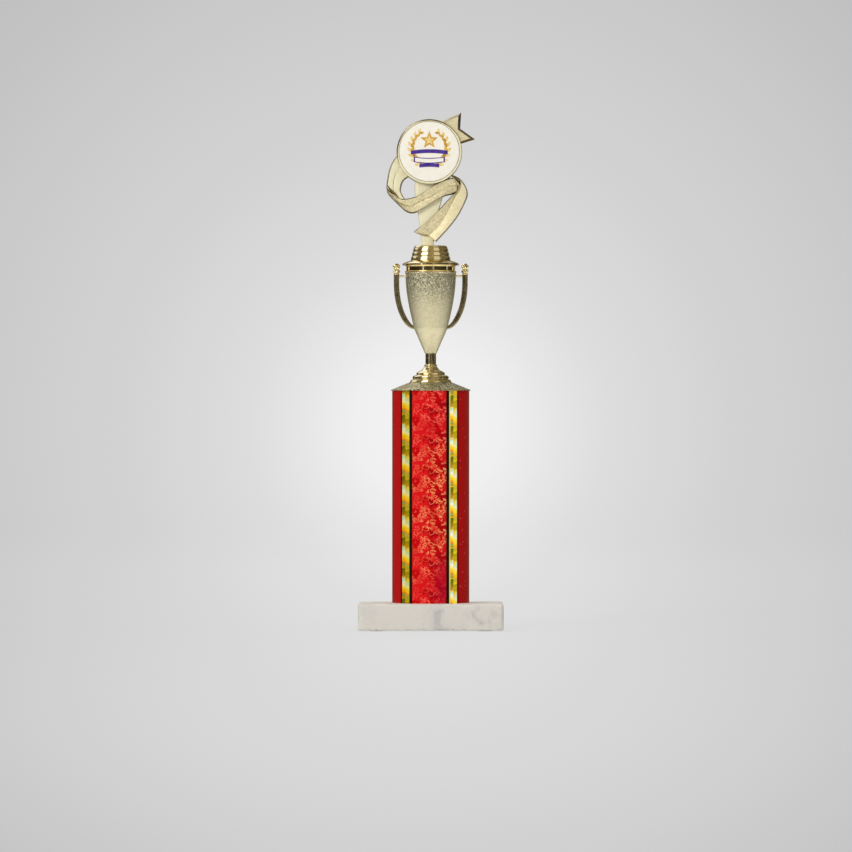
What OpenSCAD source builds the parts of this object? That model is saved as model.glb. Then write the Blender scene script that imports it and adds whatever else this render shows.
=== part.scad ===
// Column trophy: marble base, film-wrapped round column, handled cup and a star figure
// that holds a flat round insert. Everything is clamped on one threaded tie rod.
// Millimetres, +Z up, the front faces -Y, the origin is under the middle of the base.

/* [Base] */
// Width of the marble slab
base_w = 123; // [100:1:180]
// Depth of the marble slab
base_d = 83; // [80:1:130]
// Thickness of the marble slab
base_t = 22.7; // [18:0.1:30]
// Bevel along the slab's edges
base_bevel = 1.2; // [0.4:0.1:3]
// Diameter of the counterbore for the lower nut
counterbore_d = 22; // [20:0.5:28]
// Depth of that counterbore
counterbore_h = 9; // [8:0.5:12]
// Diameter of a felt pad
pad_d = 12; // [8:0.5:16]
// Thickness of a felt pad
pad_t = 0.6; // [0.5:0.1:3]
// Distance from the slab's sides to a pad's centre
pad_inset = 16; // [9:0.5:20]

/* [Column] */
// Outside diameter of the column over its film
column_d = 65.4; // [54:0.1:80]
// Height of the column
column_h = 179.4; // [80:0.1:400]
// Wall of the column tube
column_wall = 2; // [1:0.1:4]
// Thickness of the printed film
film_t = 0.15; // [0.1:0.01:0.4]
// Height of the centring plug in the column's lower end
plug_h = 8; // [5:0.5:15]

/* [Lid] */
// How far the lid stands out past the column
lid_overhang = 1.1; // [0.4:0.1:4]
// Height of the lid's upright edge
lid_edge = 0.8; // [0.4:0.1:3]
// Rise of the lid's cone
lid_rise = 6.1; // [2:0.1:12]
// Diameter of the flat on top of the lid
lid_flat_d = 37; // [36:0.1:44]
// Length of the skirt inside the column
skirt_h = 7; // [4:0.5:15]
// Wall of the lid and plug
lid_wall = 1.6; // [1:0.1:2.5]

/* [Riser] */
// Diameter of the riser's foot
foot_d = 36; // [32:0.1:36]
// Height of the stepped foot
foot_h = 15.3; // [13:0.1:24]
// Height of the plain stem
stem_h = 9.2; // [4:0.1:20]
// Diameter of the stem
stem_d = 9; // [8.4:0.1:9.4]

/* [Cup] */
// Height of the cup body
cup_h = 68.3; // [55:0.1:90]
// Diameter of the cup at its mouth
cup_d = 42.8; // [36:0.1:54]
// Diameter of the cup where its cone meets the bowl
kink_d = 28.2; // [22:0.1:34]
// Height of the cone under the bowl
kink_h = 21.1; // [16:0.1:30]
// Diameter of the cup's lower end
cup_end_d = 9.8; // [9.4:0.1:12]
// Wall of the cup body
cup_wall = 1.8; // [1.2:0.1:2.4]
// Thickness of the cup's floor
cup_floor = 6; // [5:0.5:9]

/* [Rim] */
// Height of the bead at the cup's mouth
bead_h = 1.7; // [1:0.1:3]
// Height of the smooth band
band_h = 3.8; // [2:0.1:8]
// Thickness of the flange
flange_t = 1.9; // [1.2:0.1:3]
// How far the flange stands out past the cup
flange_out = 2.7; // [1:0.1:3.5]
// Rise of the slope above the flange
slope_h = 3.1; // [2:0.1:8]
// Depth of the spigot inside the cup
spigot_h = 4; // [2:0.5:6]

/* [Handles] */
// Gap between a handle's bar and the cup's mouth
handle_gap = 5.3; // [4.5:0.1:9]
// Width of a handle's bar
bar_w = 4.6; // [3:0.1:6]
// Depth of a handle's bar from front to back
bar_t = 4; // [3:0.1:6]
// Thickness of the upper bracket
bracket_t = 1.5; // [1:0.1:2.5]
// Diameter of the beads on top of a handle
finial_d = 6.4; // [4:0.1:7]
// Diameter of the pegs that hold a handle
peg_d = 1.4; // [1:0.1:1.5]

/* [Figure base] */
// Diameter of the stepped dome
dome_d = 34; // [30:0.1:36]
// Height of the stepped dome
dome_h = 12.6; // [12:0.1:20]
// How much narrower the dome's top is, on the radius
dome_taper = 2.6; // [1:0.1:4]
// Number of rounded steps
dome_steps = 3; // [2:1:5]
// Diameter of the socket under the figure
socket_d = 12; // [11.6:0.1:16]
// Depth of that socket
socket_h = 5; // [4:0.5:6]

/* [Figure] */
// Diameter of the flat round insert
insert_d = 50.8; // [40:0.1:64]
// Thickness of the insert
insert_t = 1; // [0.4:0.1:1.5]
// Width of the rim around the insert
insert_rim = 2.4; // [1.5:0.1:4]
// Height of the insert's centre above the figure's base
disc_h = 79.6; // [78:0.1:90]
// Depth of the figure behind its middle plane
figure_back = 4; // [2:0.1:6]
// Depth of the disc holder in front of the middle plane
disc_front = 5; // [3:0.1:7]
// Depth of the ribbon where it crosses in front
crossing_front = 5.5; // [3:0.1:7]
// Depth of the ribbon where it runs down to the base
descent_front = 4.5; // [2:0.1:7]
// Depth of the ribbon's left loop and of the star
loop_front = 2; // [1:0.1:4]

/* [Fasteners] */
// Diameter of the threaded tie rod
rod_d = 4.83; // [4:0.01:5]
// Width of the nuts across their flats
nut_af = 9.53; // [8:0.01:10]
// Thickness of a nut
nut_t = 3.2; // [2.5:0.1:4]
// Diameter of the washer under the marble
base_washer_d = 19; // [14:0.1:19.5]
// Diameter of the washer on the lid
lid_washer_d = 12.7; // [12:0.1:16]
// Thickness of a washer
washer_t = 1.2; // [0.8:0.1:2]

/* [Fits] */
// Gap between two pieces that slide together
slip = 0.15; // [0.05:0.01:0.3]
// Gap around the rod in the moulded pieces and the stone
rod_gap = 0.35; // [0.2:0.05:1]
// Gap between a nut's bore and the rod
thread_gap = 0.04; // [0.02:0.01:0.1]

/* [Hidden] */
$fn = 96;

rod_r = rod_d / 2;
rod_hole_r = rod_r + rod_gap;
tube_r = column_d / 2 - film_t;
tube_in_r = tube_r - column_wall;
lid_r = column_d / 2 + lid_overhang;
lid_flat_r = lid_flat_d / 2;
skirt_r = tube_in_r - slip;
cup_r = cup_d / 2;
kink_r = kink_d / 2;
cup_end_r = cup_end_d / 2;
spigot_r = cup_r - cup_wall - slip;
flange_r = cup_r + flange_out;
dome_r = dome_d / 2;
socket_r = socket_d / 2;
disc_r = insert_d / 2 + insert_rim;
disc_x = -1.2;
star_front = loop_front - 1;

// heights of the pieces, each one standing on the piece below it
base_z = pad_t;
column_z = base_z + base_t;
lid_z = column_z + column_h;
lid_h = lid_edge + lid_rise;
foot_z = lid_z + lid_h;
cup_z = foot_z + foot_h + stem_h;
rim_z = cup_z + cup_h;
band_z = rim_z + bead_h;
line_h = 0.8;
flange_z = band_z + band_h + line_h;
dome_z = flange_z + flange_t + slope_h - line_h;
figure_z = dome_z + dome_h;
boss_r = socket_r + 2;
dome_wall = 1.6;
// rounded crown over the steps: height, and how far it comes in
crown_h = 1.9;
crown_in = 2.2;
nut_floor = 3;
nut_z = dome_z + nut_floor;
register_r = 3.6;
register_h = 2;
nut_room_r = 9;
nut_room_h = washer_t + nut_t + 1.8;
rod_tail = 2;

// a smooth curve through the points p, with n steps between neighbours
function between(a, b, c, d, t) = 0.5 * (2 * b + (c - a) * t + (2 * a - 5 * b + 4 * c - d) * t * t
    + (3 * b - 3 * c + d - a) * t * t * t);
function smooth(p, n = 4) = concat([for (i = [0:len(p) - 2]) for (j = [0:n - 1])
    between(p[max(i - 1, 0)], p[i], p[i + 1], p[min(i + 2, len(p) - 1)], j / n)], [p[len(p) - 1]]);
function reversed(p) = [for (i = [len(p) - 1:-1:0]) p[i]];

// a bevelled rectangle about the origin
function bevelled(w, d, b) = let (x = w / 2, y = d / 2)
    [[x - b, -y], [x, b - y], [x, y - b], [x - b, y], [b - x, y], [-x, y - b], [-x, b - y], [b - x, -y]];

module ring(outer_r, inner_r, h) {
    difference() {
        cylinder(r = outer_r, h = h);
        translate([0, 0, -1]) cylinder(r = inner_r, h = h + 2);
    }
}

module hex_nut(z) {
    translate([0, 0, z]) difference() {
        cylinder(r = nut_af / sqrt(3), h = nut_t, $fn = 6);
        translate([0, 0, -1]) cylinder(r = rod_r + thread_gap, h = nut_t + 2);
    }
}

module marble_base() {
    color("whitesmoke") difference() {
        translate([0, 0, base_z + base_t / 2]) intersection() {
            translate([0, 0, -base_t / 2]) linear_extrude(base_t)
                polygon(bevelled(base_w, base_d, base_bevel));
            translate([0, base_d / 2, 0]) rotate([90, 0, 0]) linear_extrude(base_d)
                polygon(bevelled(base_w, base_t, base_bevel));
            translate([-base_w / 2, 0, 0]) rotate([90, 0, 90]) linear_extrude(base_w)
                polygon(bevelled(base_d, base_t, base_bevel));
        }
        translate([0, 0, base_z - 1]) cylinder(r = rod_hole_r, h = base_t + 2);
        translate([0, 0, base_z - 1]) cylinder(d = counterbore_d, h = counterbore_h + 1);
    }
}

module base_pads() {
    for (sx = [-1, 1]) for (sy = [-1, 1])
        color("dimgray") translate([sx * (base_w / 2 - pad_inset), sy * (base_d / 2 - pad_inset), 0])
            cylinder(d = pad_d, h = pad_t);
}

module base_washer() {
    color("silver") translate([0, 0, base_z + counterbore_h - washer_t])
        ring(base_washer_d / 2, rod_hole_r, washer_t);
}

module base_nut() {
    color("silver") hex_nut(base_z + counterbore_h - washer_t - nut_t);
}

module tie_rod() {
    low = base_z + counterbore_h - washer_t - nut_t - rod_tail;
    color("gray") translate([0, 0, low]) cylinder(r = rod_r, h = nut_z + nut_t - low);
}

module column_plug() {
    color("dimgray") translate([0, 0, column_z]) rotate_extrude()
        polygon([[rod_hole_r, 0], [skirt_r, 0], [skirt_r, plug_h], [skirt_r - lid_wall, plug_h],
            [skirt_r - lid_wall, lid_wall], [rod_hole_r, lid_wall]]);
}

module column_tube() {
    color("tan") translate([0, 0, column_z]) ring(tube_r, tube_in_r, column_h);
}

module column_wrap() {
    color("firebrick") translate([0, 0, column_z]) ring(tube_r + film_t, tube_r, column_h);
}

module column_lid() {
    color("khaki") translate([0, 0, lid_z]) rotate_extrude()
        polygon([[rod_hole_r, lid_h], [lid_flat_r, lid_h], [lid_r, lid_edge], [lid_r, 0], [skirt_r, 0],
            [skirt_r, -skirt_h], [skirt_r - lid_wall, -skirt_h], [skirt_r - lid_wall, 0],
            [lid_flat_r - lid_wall, lid_h - lid_wall], [rod_hole_r, lid_h - lid_wall]]);
}

module lid_washer() {
    color("silver") translate([0, 0, foot_z]) ring(lid_washer_d / 2, rod_hole_r, washer_t);
}

module lid_nut() {
    color("silver") hex_nut(foot_z + washer_t);
}

// two rounded rings, a bell and a collar under a plain stem
module riser_foot() {
    s = foot_h / 15.3;
    k = foot_d / 36;
    collar_r = stem_d / 2 + 0.9;
    // radii are for a foot of 36 mm and heights for one of 15.3 mm: two rolled rings, a groove, a bell and a collar
    bell = [for (a = [0:15:90]) [11.8 * k - (11.8 * k - collar_r) * sin(a), s * (8.2 + 3.8 * (1 - cos(a)))]];
    color("gold") translate([0, 0, foot_z]) difference() {
        rotate_extrude() polygon(concat(
            [[0, 0], [18 * k, 0], [17.2 * k, s * 0.6], [17 * k, s * 1.6], [16.2 * k, s * 2.4],
                [15 * k, s * 2.8], [15 * k, s * 3.4], [15.2 * k, s * 4], [15 * k, s * 5.2],
                [14 * k, s * 5.9], [12 * k, s * 6.3], [12 * k, s * 6.9], [12.2 * k, s * 7.4]],
            bell,
            [[collar_r, s * 13], [collar_r - 0.5, s * 13.4], [collar_r - 0.5, s * 13.8],
                [collar_r, s * 14.2], [collar_r, s * 14.9], [stem_d / 2, foot_h], [stem_d / 2, foot_h + stem_h],
                [register_r, foot_h + stem_h], [register_r, foot_h + stem_h + register_h],
                [0, foot_h + stem_h + register_h]]));
        translate([0, 0, -1]) cylinder(r = nut_room_r, h = nut_room_h + 1);
        translate([0, 0, -1]) cylinder(r = rod_hole_r, h = foot_h + stem_h + register_h + 2);
    }
}

// radius of the cup at height h: a straight cone, then a quarter sine up to the mouth
function cup_radius(h) = h < kink_h ? cup_end_r + (kink_r - cup_end_r) * h / kink_h
    : kink_r + (cup_r - kink_r) * sin(90 * (h - kink_h) / (cup_h - kink_h));
function cup_side(inset, low, steps = 12) = concat([[cup_radius(low) - inset, low]],
    [for (i = [0:steps]) let (h = kink_h + (cup_h - kink_h) * i / steps) [cup_radius(h) - inset, h]]);

module cup_blank() {
    translate([0, 0, cup_z]) rotate_extrude() polygon(concat([[0, 0]], cup_side(0, 0), [[0, cup_h]]));
}

peg_low_z = cup_z + kink_h + 1.6;
peg_high_z = rim_z - 2.7;
peg_low_r = cup_radius(kink_h + 1.6);
peg_high_r = cup_radius(cup_h - 2.7);

// both pegs of one handle, which run along X from inside the cup's wall into the bar
module pegs(side, gap) {
    in = cup_wall - 0.3;
    for (p = [[peg_low_r, peg_low_z], [peg_high_r, peg_high_z]])
        translate([side * (p[0] - in - gap), 0, p[1]]) rotate([0, side * 90, 0])
            cylinder(d = peg_d + 2 * gap, h = in + 2);
}

module cup_body() {
    color("palegoldenrod") difference() {
        cup_blank();
        translate([0, 0, cup_z]) rotate_extrude()
            polygon(concat([[0, cup_floor]], cup_side(cup_wall, cup_floor),
                [[cup_r - cup_wall, cup_h + 1], [0, cup_h + 1]]));
        translate([0, 0, cup_z - 1]) cylinder(r = rod_hole_r, h = cup_floor + 2);
        translate([0, 0, cup_z - 1]) cylinder(r = register_r + slip, h = register_h + slip + 1);
        pegs(-1, slip);
        pegs(1, slip);
    }
}

module cup_rim() {
    low = rim_z - spigot_h;
    band_r = cup_r - 0.6;
    roof_z = flange_z + flange_t / 2;
    inner_r = spigot_r - 1.6;
    color("gold") difference() {
        rotate_extrude() polygon([[0, low], [spigot_r, low], [spigot_r, rim_z], [cup_r + 0.3, rim_z],
            [cup_r + 0.7, rim_z + bead_h / 2], [cup_r + 0.3, band_z], [band_r, band_z],
            [band_r, band_z + band_h], [cup_r, flange_z - line_h / 2], [band_r, flange_z],
            [flange_r - 0.6, flange_z], [flange_r, flange_z + 0.5], [flange_r - 0.3, flange_z + 1.1],
            [dome_r + 3.5, dome_z - 0.9], [dome_r + 0.2, dome_z], [0, dome_z]]);
        rotate_extrude() polygon([[0, low - 1], [inner_r, low - 1], [inner_r, roof_z],
            [boss_r, dome_z - 2], [0, dome_z - 2]]);
        translate([0, 0, low]) cylinder(r = rod_hole_r, h = dome_z - low + 1);
    }
}

// outline of one bar: a quarter ellipse outside, its normal offset inside, and a plain top end
bar_out_x = cup_r + handle_gap + bar_w;
bar_top = cup_h - 1.2;
bar_end_w = 2.6;
function bar_edge(a, inward) = let (
    rx = bar_out_x - kink_r + 0.6, rz = 0.86 * (bar_top - kink_h),
    x = kink_r - 0.6 + rx * sin(a), z = kink_h - 0.4 + rz * (1 - cos(a)),
    t = [rx * cos(a), rz * sin(a)] / norm([rx * cos(a), rz * sin(a)]),
    w = inward * (bar_end_w + (bar_w - bar_end_w) * sin(min(90, 2 * a))))
    [x - w * t[1], z + w * t[0]];
function bar_outline() = concat(
    [for (a = [0:7.5:90]) bar_edge(a, 0)],
    [[bar_out_x, bar_top], [bar_out_x - bar_w, bar_top]],
    reversed([for (a = [0:7.5:90]) bar_edge(a, 1)]));

module handle(side) {
    finial_r = finial_d / 2;
    post_x = bar_out_x - bar_w / 2;
    difference() {
        mirror([side < 0 ? 1 : 0, 0, 0]) union() {
            translate([0, bar_t / 2, cup_z]) rotate([90, 0, 0]) linear_extrude(bar_t) polygon(bar_outline());
            translate([cup_r - 1, -bar_t / 4, peg_high_z - bracket_t / 2])
                cube([post_x - cup_r + 1, bar_t / 2, bracket_t]);
            translate([post_x, 0, cup_z + bar_top - 0.4]) rotate_extrude()
                polygon([[0, 0], [2, 0], [2.2, 0.6], [1.4, 1.2], [1.4, finial_r + 1], [0, finial_r + 1]]);
            translate([post_x, 0, cup_z + bar_top + 2.8]) sphere(r = 0.72 * finial_r);
            translate([post_x, 0, cup_z + bar_top + 3.6 + finial_r]) sphere(r = finial_r);
        }
        cup_blank();
    }
    pegs(side, 0);
}

module handle_left() {
    color("goldenrod") handle(-1);
}

module handle_right() {
    color("goldenrod") handle(1);
}

module figure_base() {
    // each step is a quarter ellipse that starts upright, narrower than the one below, under a round crown
    step_h = (dome_h - crown_h) / dome_steps;
    step_in = (dome_taper + 0.15) / dome_steps;
    side = [for (i = [0:dome_steps - 1]) for (a = [0:14:84])
        [dome_r - step_in * (i + 1 - cos(a)), step_h * (i + sin(a))]];
    crown_r = dome_r - step_in * dome_steps;
    top_r = crown_r - crown_in;
    crown = [for (a = [0:15:90]) [top_r + crown_in * cos(a), dome_h - crown_h * (1 - sin(a))]];
    color("gold") translate([0, 0, dome_z]) difference() {
        rotate_extrude() polygon(concat([[0, 0]], side, crown, [[0, dome_h]]));
        difference() {
            translate([0, 0, -1]) cylinder(r = top_r - dome_wall, h = dome_h - dome_wall + 1);
            translate([0, 0, -1]) cylinder(r = boss_r, h = dome_h + 2);
        }
        translate([0, 0, dome_h - socket_h]) cylinder(r = socket_r, h = socket_h + 1);
        translate([0, 0, nut_floor]) cylinder(r = nut_af / sqrt(3) + slip, h = dome_h, $fn = 6);
        translate([0, 0, -1]) cylinder(r = rod_hole_r, h = dome_h);
    }
}

module figure_nut() {
    color("silver") hex_nut(nut_z);
}

// one layer of the figure, from its back to the given distance in front of the middle plane
module layer(outline, front) {
    translate([0, figure_back, figure_z]) rotate([90, 0, 0]) linear_extrude(figure_back + front)
        polygon(outline);
}

// outlines of the figure as [across, up] from the middle of its base
tail_left = [[-6, 0], [-8.5, 11], [-11, 27], [-13.6, 43], [-12, 62], [-6, 80]];
tail_right = [[3, 0], [3, 14], [7, 30], [11, 41], [14, 56], [12, 80]];
star_outline = [[25.8, 113.2], [0, 101.4], [13, 82.5], [37.6, 90.3], [25, 99.3]];
loop_outer = [[-18, 86], [-28.7, 76], [-34.2, 67.4], [-37, 56], [-37.4, 48.5], [-34.5, 42], [-27, 35.7]];
loop_inner = [[-5, 60], [-17.6, 58], [-22.5, 55.5], [-25, 48], [-23.5, 42.5], [-20, 40]];
crossing_low = [[-36, 45], [-31.3, 39], [-26.5, 34.5], [-22, 29.4], [-16, 27.4], [-10.5, 28.8], [0, 35.4],
    [10, 41.2], [19.5, 43.5]];
crossing_high = [[-27, 44], [-21.5, 40], [-13, 41.8], [-5, 46], [3, 51.4], [11.6, 55.7], [18, 59.4]];
descent_outer = [[14, 60], [24, 57], [30, 50.2], [31.5, 43], [28.8, 36.2], [24, 26.4], [16.5, 16.4], [4.8, 3.4]];
descent_inner = [[-14.7, 11.8], [-6.2, 18.6], [1, 25], [7.3, 31.2], [12.5, 36.9], [17.6, 43], [16, 52]];
descent_end = [[1, 2.2], [-1.6, 8.6], [-8, 9.6]];

module award_figure() {
    color("palegoldenrod") union() {
        layer(concat(smooth(tail_left), reversed(smooth(tail_right))), 0);
        layer(star_outline, star_front);
        layer(concat(smooth(loop_outer), reversed(smooth(loop_inner))), loop_front);
        layer(concat(smooth(crossing_low), reversed(smooth(crossing_high))), crossing_front);
        layer(concat(smooth(descent_outer), descent_end, smooth(descent_inner)), descent_front);
        translate([disc_x, figure_back, figure_z + disc_h]) rotate([90, 0, 0]) difference() {
            cylinder(r = disc_r, h = figure_back + disc_front);
            translate([0, 0, figure_back + disc_front - insert_t]) cylinder(d = insert_d + 2 * slip, h = 3);
        }
        translate([0, 0, figure_z - socket_h + slip]) cylinder(r = socket_r - slip, h = socket_h - slip);
    }
}

module insert_disc() {
    color("ivory") translate([disc_x, insert_t - disc_front, figure_z + disc_h]) rotate([90, 0, 0])
        cylinder(d = insert_d, h = insert_t);
}

marble_base();
base_pads();
base_washer();
base_nut();
tie_rod();
column_plug();
column_tube();
column_wrap();
column_lid();
lid_washer();
lid_nut();
riser_foot();
cup_body();
cup_rim();
handle_left();
handle_right();
figure_base();
figure_nut();
award_figure();
insert_disc();
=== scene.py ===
import bpy
import math
import numpy as np
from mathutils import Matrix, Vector


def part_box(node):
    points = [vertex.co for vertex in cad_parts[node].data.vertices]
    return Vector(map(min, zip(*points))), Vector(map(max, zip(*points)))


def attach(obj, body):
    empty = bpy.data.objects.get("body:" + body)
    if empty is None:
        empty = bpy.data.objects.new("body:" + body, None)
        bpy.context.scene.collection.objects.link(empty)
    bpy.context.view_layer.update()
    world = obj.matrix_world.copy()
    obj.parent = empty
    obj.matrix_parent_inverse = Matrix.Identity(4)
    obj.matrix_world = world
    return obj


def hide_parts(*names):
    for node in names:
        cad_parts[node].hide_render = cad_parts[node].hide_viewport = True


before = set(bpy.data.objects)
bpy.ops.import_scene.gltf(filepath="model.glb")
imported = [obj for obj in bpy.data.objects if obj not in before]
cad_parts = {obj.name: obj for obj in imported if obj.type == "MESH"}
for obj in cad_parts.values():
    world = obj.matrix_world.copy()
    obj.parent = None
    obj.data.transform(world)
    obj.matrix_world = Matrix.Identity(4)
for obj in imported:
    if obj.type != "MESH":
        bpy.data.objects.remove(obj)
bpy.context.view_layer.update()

mm = 0.001
tau = 2 * math.pi


def latticeNoise(points, size, seed):
    # value noise: random numbers on a cubic lattice, blended between corners with 3t^2 - 2t^3; result -1 to 1
    side = 32
    table = np.random.default_rng(seed).random((side, side, side)) * 2 - 1
    p = points / size
    cell = np.floor(p).astype(int)
    t = p - cell
    t = t * t * (3 - 2 * t)
    total = 0
    for dx, dy, dz in np.ndindex(2, 2, 2):
        weight = np.abs(1 - dx - t[..., 0]) * np.abs(1 - dy - t[..., 1]) * np.abs(1 - dz - t[..., 2])
        i, j, k = (cell[..., axis] + step for axis, step in enumerate((dx, dy, dz)))
        total = total + weight * table[i % side, j % side, k % side]
    return total


def smoothLine(points, count):
    # Catmull-Rom curve through the points, read at count even steps of its parameter
    p = np.array(points, float)
    p = np.vstack([2 * p[0] - p[1], p, 2 * p[-1] - p[-2]])
    s = np.linspace(0, len(points) - 1, count)
    i = np.minimum(s.astype(int), len(points) - 2)
    t = (s - i)[:, None]
    a, b, c, d = p[i], p[i + 1], p[i + 2], p[i + 3]
    square, cube = 2 * a - 5 * b + 4 * c - d, 3 * b - 3 * c + d - a
    return 0.5 * (2 * b + (c - a) * t + square * t ** 2 + cube * t ** 3)


def evenLine(points, count, fine=40):
    # the same curve, read at even distances along its length
    line = smoothLine(points, len(points) * fine)
    run = np.concatenate([[0], np.cumsum(np.linalg.norm(np.diff(line, axis=0), axis=1))])
    at = np.linspace(0, run[-1], count)
    return np.stack([np.interp(at, run, line[:, k]) for k in range(line.shape[1])], axis=1)


def roundedLoop(corners, steps=5):
    # closed outline whose corners (r, z, radius) become arcs tangent to both sides
    out = []
    n = len(corners)
    for k in range(n):
        p = np.array(corners[k][:2], float)
        radius = corners[k][2] if len(corners[k]) > 2 else 0
        a = np.array(corners[k - 1][:2], float) - p
        b = np.array(corners[(k + 1) % n][:2], float) - p
        if radius <= 0:
            out.append(p)
            continue
        la, lb = np.linalg.norm(a), np.linalg.norm(b)
        a, b = a / la, b / lb
        half = math.acos(max(-1, min(1, float(a @ b)))) / 2
        reach = min(radius / math.tan(half), 0.48 * la, 0.48 * lb)
        r = reach * math.tan(half)
        centre = p + (a + b) / np.linalg.norm(a + b) * r / math.sin(half)
        u, v = p + a * reach - centre, p + b * reach - centre
        turn = math.atan2(u[0] * v[1] - u[1] * v[0], u @ v)
        for t in np.linspace(0, 1, steps + 1):
            c, s = math.cos(turn * t), math.sin(turn * t)
            out.append(centre + np.array([u[0] * c - u[1] * s, u[0] * s + u[1] * c]))
    return np.array(out)


def gridObject(name, grid, closeU=False, closeV=False, capU=False, bands=None, materials=(), sharp=35):
    # grid[u, v] of points becomes quads; closed directions join round, capU closes both ends with a face each;
    # a negative signed volume, the sum of a . (b x c) over all triangles, means that the faces must be turned
    n, m = grid.shape[:2]
    nu, nv = (n if closeU else n - 1), (m if closeV else m - 1)
    u, v = np.meshgrid(np.arange(nu), np.arange(nv), indexing="ij")
    u2, v2 = (u + 1) % n, (v + 1) % m
    faces = np.stack([u * m + v, u2 * m + v, u2 * m + v2, u * m + v2], axis=-1).reshape(-1, 4)
    points = grid.reshape(-1, 3)
    a, b, c, d = (points[faces[:, k]] for k in range(4))
    volume = (a * (np.cross(b, c) + np.cross(c, d))).sum()
    loops = [list(range(m)), list(range((n - 1) * m, n * m))] if capU else []
    bands = np.zeros(m, int) if bands is None else np.asarray(bands)
    faceBands = np.broadcast_to(bands, (nu, m))[:, :nv].reshape(-1)
    polygons = faces.tolist()
    if capU:
        volume += capVolume(points[loops[0]][::-1]) + capVolume(points[loops[1]])
        loops[0] = loops[0][::-1]
        polygons += loops
        faceBands = np.concatenate([faceBands, [0, 0]])
    if volume < 0:
        polygons = [p[::-1] for p in polygons]
    mesh = bpy.data.meshes.new(name)
    mesh.from_pydata(points.tolist(), [], polygons)
    mesh.polygons.foreach_set("material_index", faceBands.astype(np.int32))
    for material in materials:
        mesh.materials.append(material)
    mesh.update()
    mesh.validate()
    mesh.shade_smooth()
    mesh.set_sharp_from_angle(angle=math.radians(sharp))
    piece = bpy.data.objects.new(name, mesh)
    bpy.context.scene.collection.objects.link(piece)
    return piece


def capVolume(loop):
    # signed volume under a flat cap, as a fan from its first corner
    return (loop[0] * np.cross(loop[1:-1], loop[2:])).sum()


def turnedObject(name, outline, material, segments=160, centre=(0, 0), relief=None, bands=None, sharp=35):
    # closed outline (r, z) carried round the Z axis; relief(angle, r, z) adds to the radius
    angle = np.linspace(0, tau, segments, endpoint=False)[:, None]
    r, z = (np.broadcast_to(outline[:, k], (segments, len(outline))) for k in (0, 1))
    if relief is not None:
        r = r + relief(angle, r, z)
    grid = np.stack([centre[0] + r * np.sin(angle), centre[1] - r * np.cos(angle), z], axis=-1)
    materials = material if isinstance(material, (list, tuple)) else [material]
    return gridObject(name, grid, closeU=True, closeV=True, bands=bands, materials=materials, sharp=sharp)


def joined(name, objects):
    # several islands become one piece
    with bpy.context.temp_override(active_object=objects[0], selected_editable_objects=objects):
        bpy.ops.object.join()
    objects[0].name = name
    return objects[0]


def fitted(piece, slotName, *nodes):
    # every piece rides on the one body and may stand in for nodes of the part
    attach(piece, "root")
    if nodes:
        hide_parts(*nodes)
    return piece


def newGroup(name, inputs, outputs):
    # empty node group with its named sockets: f is a number, c a colour, v a position
    group = bpy.data.node_groups.new(name, "ShaderNodeTree")
    kinds = {"f": "NodeSocketFloat", "c": "NodeSocketColor", "v": "NodeSocketVector"}
    for label, kind, value in inputs:
        socket = group.interface.new_socket(label, in_out="INPUT", socket_type=kinds[kind])
        if value is not None:
            socket.default_value = value
    for label, kind in outputs:
        group.interface.new_socket(label, in_out="OUTPUT", socket_type=kinds[kind])
    return group, group.nodes.new("NodeGroupInput"), group.nodes.new("NodeGroupOutput")


def put(tree, kind, values=None, links=None, **settings):
    # one node with its settings, socket values and incoming links
    node = tree.nodes.new(kind)
    for key, value in settings.items():
        setattr(node, key, value)
    for key, value in (values or {}).items():
        node.inputs[key].default_value = value
    for key, source in (links or {}).items():
        tree.links.new(source, node.inputs[key])
    return node


def filled(tree, socket, x):
    # a socket takes a fixed number or colour, or a link
    if isinstance(x, (int, float)):
        socket.default_value = x
    elif isinstance(x, (tuple, list)):
        socket.default_value = (*x[:3], 1) if len(socket.default_value) == 4 else x
    elif x is not None:
        tree.links.new(x, socket)


def sums(tree, operation, a, b=None, c=None, clamp=False):
    # one step of arithmetic on numbers or sockets
    node = put(tree, "ShaderNodeMath", operation=operation, use_clamp=clamp)
    for k, x in enumerate((a, b, c)):
        filled(tree, node.inputs[k], x)
    return node.outputs[0]


def times(tree, a, b):
    # a times b
    return sums(tree, "MULTIPLY", a, b)


def minus(tree, a, b):
    # a less b
    return sums(tree, "SUBTRACT", a, b)


def vectors(tree, operation, a, b=None, scale=None):
    # one step of arithmetic on positions; a side is a socket or three numbers
    node = put(tree, "ShaderNodeVectorMath", {} if scale is None else {"Scale": scale}, operation=operation)
    filled(tree, node.inputs[0], a)
    filled(tree, node.inputs[1], b)
    return node.outputs["Value" if operation == "DOT_PRODUCT" else "Vector"]


def blend(tree, factor, a, b, mode="MIX"):
    # a where the factor is 0, b where it is 1
    node = put(tree, "ShaderNodeMix", data_type="RGBA", blend_type=mode)
    for k, x in ((0, factor), (6, a), (7, b)):
        filled(tree, node.inputs[k], x)
    return node.outputs[2]


def spread(tree, value, low, high, outLow=0.0, outHigh=1.0):
    # smooth step: outLow up to low, outHigh from high on, with 3t^2 - 2t^3 between them
    node = put(tree, "ShaderNodeMapRange", {1: low, 2: high, 3: outLow, 4: outHigh}, {0: value},
               interpolation_type="SMOOTHSTEP")
    return node.outputs[0]


def noise(tree, where, scale, detail=1.0, roughness=0.5, output=0):
    # cloudy noise read at a position, 0 to 1; output 1 is its colour
    values = {"Scale": scale, "Detail": detail, "Roughness": roughness}
    return put(tree, "ShaderNodeTexNoise", values, {"Vector": where}).outputs[output]


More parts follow.
